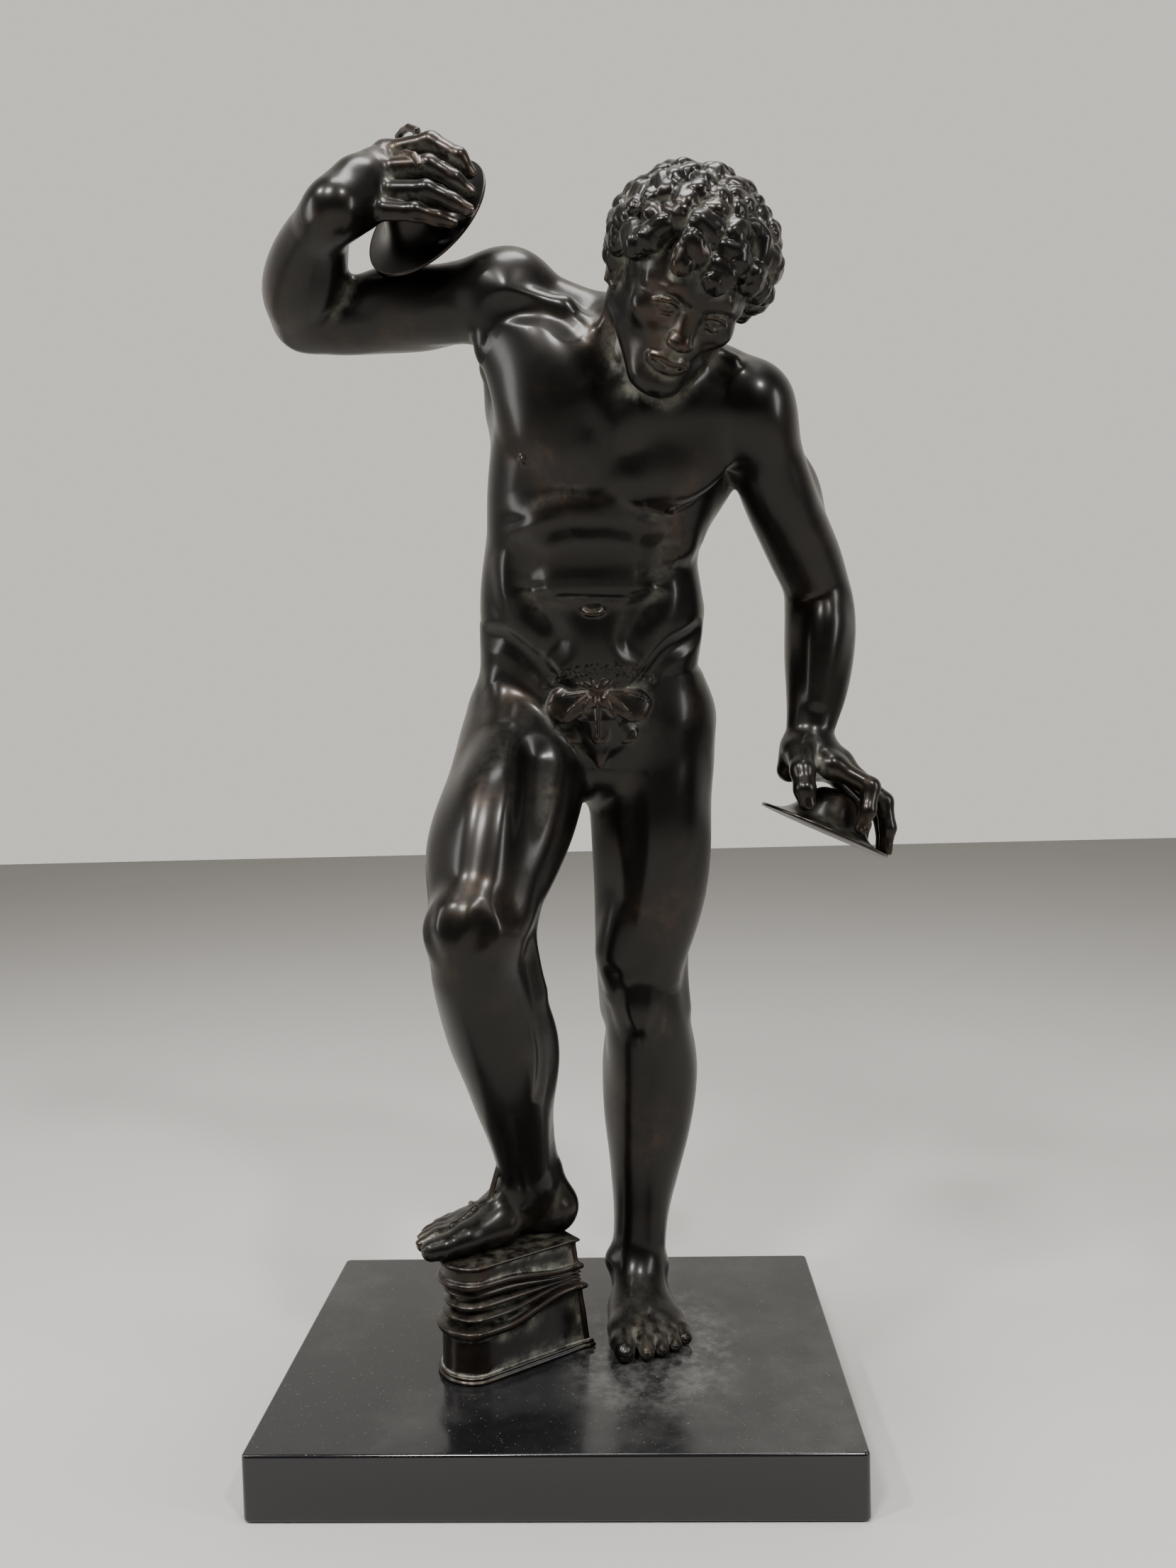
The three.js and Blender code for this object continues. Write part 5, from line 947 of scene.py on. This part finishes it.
def bronze_finish(name, dust, rough, warmth):
    """Near-black lacquered bronze, brown where rubbed, with pale dust in hollows and on top."""
    material, shader, place = finish_start(name)

    def measured(kind):
        return place.out("ShaderNodeAttribute", 2, {"attribute_name": kind})

    upward = place.out("ShaderNodeSeparateXYZ", 2, _0=place.out("ShaderNodeNewGeometry", 1))
    hollow = 1.0 - measured("open_mid").between(0.30, 0.85)
    crease = 1.0 - measured("open_near").between(0.45, 0.92)
    deep = 1.0 - measured("open_far").between(0.25, 0.80)
    ridge = 1.0 - measured("thick_mid").between(0.25, 0.85)
    edge = 1.0 - measured("thick_near").between(0.50, 0.95)
    patches = cloud(place, 60, 5.0, 0.6)
    mottle = cloud(place, 9, 5.0, 0.65)
    fine = cloud(place, 1.3, 3.0, 0.6)
    rubbed = (ridge * 0.35 + edge * 0.10 + patches.between(0.50, 0.70) * 0.5) * warmth
    rubbed = rubbed * mottle.between(0.25, 0.65)
    dusty = hollow * 0.40 + crease * 0.45 + deep * 0.22 + upward.between(0.45, 0.98) * 0.22
    dusty = dusty * mottle.between(0.30, 0.70) * patches.between(0.28, 0.60) * dust
    base = patches.blend((0.007, 0.0065, 0.006), (0.016, 0.013, 0.010))
    worn = rubbed.blend(base, (0.075, 0.042, 0.024))
    colour = dusty.blend(worn, (0.17, 0.17, 0.135))
    connect(
        material, shader,
        Base_Color=colour,
        Metallic=0.85 - dusty * 0.8,
        Roughness=rough + mottle * 0.12 + fine * 0.05 + crease * 0.22 + dusty * 0.4,
        Normal=place.out(
            "ShaderNodeBump", Strength=0.10, Distance=0.0004, Height=mottle * 0.9 + fine * 0.2),
        Coat_Weight=0.30, Coat_Roughness=0.20)
    return material


set_material(faun, bronze_finish("dark_lacquered_bronze", 1.0, 0.29, 0.8))
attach(faun, "root")
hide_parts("faun")

# FOOT CLAPPER
# The clapper under the right foot, cast in bronze in the shape of wood and leather: a lower block
# with a moulded foot, bellows in folds at the front and a sole board on top.


def air_over(piece):
    """Stores hollow and ridge measures like the figure's, from how far smoothing moves each spot."""
    spots = mesh_rows(piece.data.vertices, "co", 3) * 1000.0
    outward = mesh_rows(piece.data.vertices, "normal", 3)
    ends = mesh_rows(piece.data.edges, "vertices", 2, np.int32)
    shares = np.bincount(ends.ravel(), minlength=len(spots)).astype(float)[:, None]
    smooth = spots.copy()
    measures = []
    for turn in range(60):
        total = np.zeros_like(smooth)
        np.add.at(total, ends[:, 0], smooth[ends[:, 1]])
        np.add.at(total, ends[:, 1], smooth[ends[:, 0]])
        smooth = total / np.maximum(shares, 1)
        if turn in (5, 19, 59):
            measures.append(((smooth - spots) * outward).sum(1))
    near, middle, far = measures
    store(piece, "open_near", 0.95 - near * 1.6)
    store(piece, "open_mid", 0.9 - middle * 0.5)
    store(piece, "open_far", 0.9 - far * 0.3)
    store(piece, "thick_near", 1.0 + near * 2.0)
    store(piece, "thick_mid", 0.9 + middle * 0.7)


CLAPPER_LEVELS = [
    # front height, heel height, lip outwards, fold inwards at the front, lean of the heel
    (0.3, 0.3, 2.4, 0, 0), (1.8, 1.8, 2.9, 0, 0), (3.4, 3.4, 1.6, 0, 0), (4.4, 4.4, 2.2, 0, 0.3),
    (5.6, 5.6, 1.2, 0, 0.5), (6.6, 6.6, 0, 0, 0.6), (18, 24, -0.2, 0, 2.5), (28.6, 40.5, -0.2, 0, 5),
    (30.2, 42, 1.8, 0, 5), (32.6, 44, 2.9, 0, 5.2), (35.2, 45.8, 1.9, 0, 5.5),
    (37, 47, -1.2, -5, 5.5), (38.6, 47.6, -0.8, -3, 5.5), (41, 48.4, -0.2, -0.6, 5.5),
    (43.4, 49, -0.8, -2.5, 5.7), (45, 49.6, -1.4, -6, 6), (46.8, 50.2, -0.8, -3, 6),
    (49, 50.8, -0.2, -1.4, 6), (51.2, 51.4, -0.8, -3, 6), (53, 52, -1.4, -6, 6),
    (54.8, 52.8, -0.6, -3, 6), (57, 53.5, 0.2, -1.4, 6), (59, 54.3, -0.4, -2.4, 6.2),
    (60.5, 55.2, -0.8, -3, 6.5), (61.6, 56, 1.0, -0.4, 6.5), (63.8, 58, 2.0, 0, 6.7),
    (66, 60, 1.2, 0, 7), (67.2, 61.2, -0.5, 0, 7), (71, 68, -0.6, 0, 8), (74.4, 74.4, -0.4, 0, 9),
    (75.4, 75.4, 1.1, 0, 9), (76.6, 76.6, 1.7, 0, 9), (77.7, 77.7, 0.9, 0, 9)]

outline = [(0.0, -1.0, 0.5), (0.0, -0.5, 0), (0.0, 0.0, 0), (0.0, 0.5, 0), (0.0, 1.0, 0.5)]
side_shares = [0.015, 0.035, 0.05] + [0.05 + 0.04 * i for i in range(1, 19)]
outline += [(share, 1.0, 0.7 if share < 0.04 else 0) for share in side_shares]
for i in range(1, 28):
    angle = i * math.pi / 28
    outline.append((0.8 + 0.2 * math.sin(angle), math.cos(angle), 0))
outline += [(share, -1.0, 0.7 if share < 0.04 else 0) for share in reversed(side_shares)]
CLAPPER_PLACE, CLAPPER_LENGTH, CLAPPER_HALF_WIDTH = (4, 10), 98, 22
heading = math.radians(216.5)
rows = spline(CLAPPER_LEVELS, 3 * len(CLAPPER_LEVELS) - 2)
rings = []
for front, heel, lip, fold, lean in rows:
    ring = []
    for share, side, rim in outline:
        climb = min(max((share - 0.1) / 0.55, 0), 1)
        climb = climb * climb * (3 - 2 * climb)
        wave = 0.35 * math.sin(5.1 * side + 0.9 * front) * climb * (36 < front < 61)
        swell = lip + fold * climb + rim
        along = lean * (1 - share) + share * CLAPPER_LENGTH + (share if share > 0 else -1) * swell
        aside = side * (CLAPPER_HALF_WIDTH + swell)
        ring.append((
            CLAPPER_PLACE[0] + math.cos(heading) * along - math.sin(heading) * aside,
            CLAPPER_PLACE[1] + math.sin(heading) * along + math.cos(heading) * aside,
            PLINTH_HEIGHT + heel + (front - heel) * climb + wave))
    rings.append(ring)
clapper = ring_stack("clapper_cast", [ring[::-1] for ring in rings])
clapper.data.polygons.foreach_set(
    "use_smooth", [len(face.vertices) == 4 for face in clapper.data.polygons])
air_over(clapper)
set_material(clapper, bronze_finish("dusty_clapper_bronze", 2.0, 0.36, 0.6))
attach(clapper, "root")
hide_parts("foot_clapper")

# CYMBALS
# Two thin cast bronze bowls with a flat rim and a tall boss, one held in each hand. Both are
# turned from one profile and set on their own place and axis.
CYMBAL_RADIUS, CYMBAL_WALL = 45.0, 1.5


def bell_height(radius):
    flare = 24 / (1 + (radius / 22.5) ** 6)
    return flare + 2.2 * (1 - radius / CYMBAL_RADIUS) - 0.0065 * min(radius, 18) ** 2


cymbal_bronze = bronze_finish("cymbal_bronze", 1.5, 0.24, 0.5)
for node, centre, axis in (
        ("right_cymbal", (-64.6, -58, 787.8), (-0.472, -0.765, 0.439)),
        ("left_cymbal", (184.5, -10, 394.5), (0.425, 0.042, 0.904))):
    profile = []
    for i in range(49):
        radius = 0.4 + 43.9 * (i / 48) ** 0.85
        slope = (bell_height(radius + 0.05) - bell_height(radius - 0.05)) / 0.1
        length = math.hypot(1, slope)
        outer = (radius, bell_height(radius) + 0.6)
        inner = (radius + slope / length * CYMBAL_WALL, outer[1] - CYMBAL_WALL / length)
        profile = [(max(inner[0], 0.2), inner[1])] + profile + [outer]
    lip = [(44.7, profile[-1][1] + 0.25), (CYMBAL_RADIUS, profile[-1][1] - 0.3),
           (CYMBAL_RADIUS, profile[0][1] + 0.3), (44.7, profile[0][1] - 0.25)]
    half = len(profile) // 2
    turned = profile[half:] + lip + profile[:half]
    tilt = Vector((0, 0, 1)).rotation_difference(Vector(axis))
    rings = [[tuple(tilt @ Vector((r * math.cos(a), r * math.sin(a), h)) + Vector(centre))
              for a in np.linspace(0, 2 * math.pi, 97)[:-1]] for r, h in turned]
    cymbal = ring_stack(node + "_cast", [ring[::-1] for ring in rings])
    cymbal.data.polygons.foreach_set("use_smooth", [True] * len(cymbal.data.polygons))
    air_over(cymbal)
    set_material(cymbal, cymbal_bronze)
    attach(cymbal, "root")
    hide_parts(node)

# STAND, LIGHT AND CAMERA
# A plain pale floor under soft studio lights. The camera was fitted to the plinth's corners in the
# photograph, with a lens of a chosen length.

bpy.ops.mesh.primitive_plane_add(size=8.0, location=(0, 0, -0.0005))
floor = bpy.context.object
floor.name = "floor"
paper, paper_shader, place = finish_start("pale_floor")
connect(
    paper, paper_shader, Roughness=0.85,
    Base_Color=cloud(place, 400, 3.0).blend((0.52, 0.50, 0.47), (0.57, 0.55, 0.52)))
set_material(floor, paper)

world = bpy.data.worlds.new("studio")
bpy.context.scene.world = world
world.use_nodes = True
sky = world.node_tree.nodes["Background"]
way = Finish(world.node_tree, world.node_tree.nodes.new("ShaderNodeTexCoord").outputs["Generated"])
behind = way.out("ShaderNodeSeparateXYZ", 1, _0=way).between(-0.15, 0.75)
world.node_tree.links.new(
    behind.blend((0.035, 0.034, 0.033), (0.80, 0.76, 0.70)).socket, sky.inputs["Color"])
sky.inputs["Strength"].default_value = 1.0


def soft_light(name, place, aim_height, width, height, power):
    """An oval lamp that looks at the middle of the figure at this height."""
    data = bpy.data.lights.new(name, "AREA")
    data.shape, data.size, data.size_y = "ELLIPSE", width, height
    data.energy = power
    lamp = bpy.data.objects.new(name, data)
    lamp.location = place
    lamp.rotation_euler = (Vector((0.02, 0, aim_height)) - Vector(place)).to_track_quat("-Z", "Y").to_euler()
    bpy.context.scene.collection.objects.link(lamp)


soft_light("key", (-0.5, -1.3, 1.9), 0.45, 0.4, 0.4, 28)
soft_light("left spot", (-1.2, -0.9, 2.0), 0.5, 0.18, 0.18, 20)
soft_light("right spot", (0.8, -1.3, 2.0), 0.5, 0.18, 0.18, 22)
soft_light("fill", (1.6, -0.7, 1.0), 0.45, 0.35, 1.1, 12)
soft_light("top", (0.1, -0.1, 2.1), 0.4, 1.0, 0.5, 24)
soft_light("side", (-1.7, -0.3, 0.9), 0.5, 0.4, 1.3, 12)

CAMERA_PLACE = Vector((57.75, -829.46, 460.58)) / 1000
YAW, PITCH, ROLL = [math.radians(v) for v in (-2.189, -2.297, -1.515)]
ahead = Vector((math.sin(YAW) * math.cos(PITCH), math.cos(YAW) * math.cos(PITCH), math.sin(PITCH)))
aside = Vector((math.cos(YAW), -math.sin(YAW), 0))
above = aside.cross(ahead)
right = aside * math.cos(ROLL) + above * math.sin(ROLL)
up = above * math.cos(ROLL) - aside * math.sin(ROLL)
lens = bpy.data.cameras.new("camera")
lens.sensor_width, lens.lens, lens.clip_start = 36, 27.99, 0.01
camera = bpy.data.objects.new("camera", lens)
camera.matrix_world = Matrix.Translation(CAMERA_PLACE) @ Matrix((
    (right.x, up.x, -ahead.x), (right.y, up.y, -ahead.y), (right.z, up.z, -ahead.z))).to_4x4()
bpy.context.scene.collection.objects.link(camera)
bpy.context.scene.camera = camera
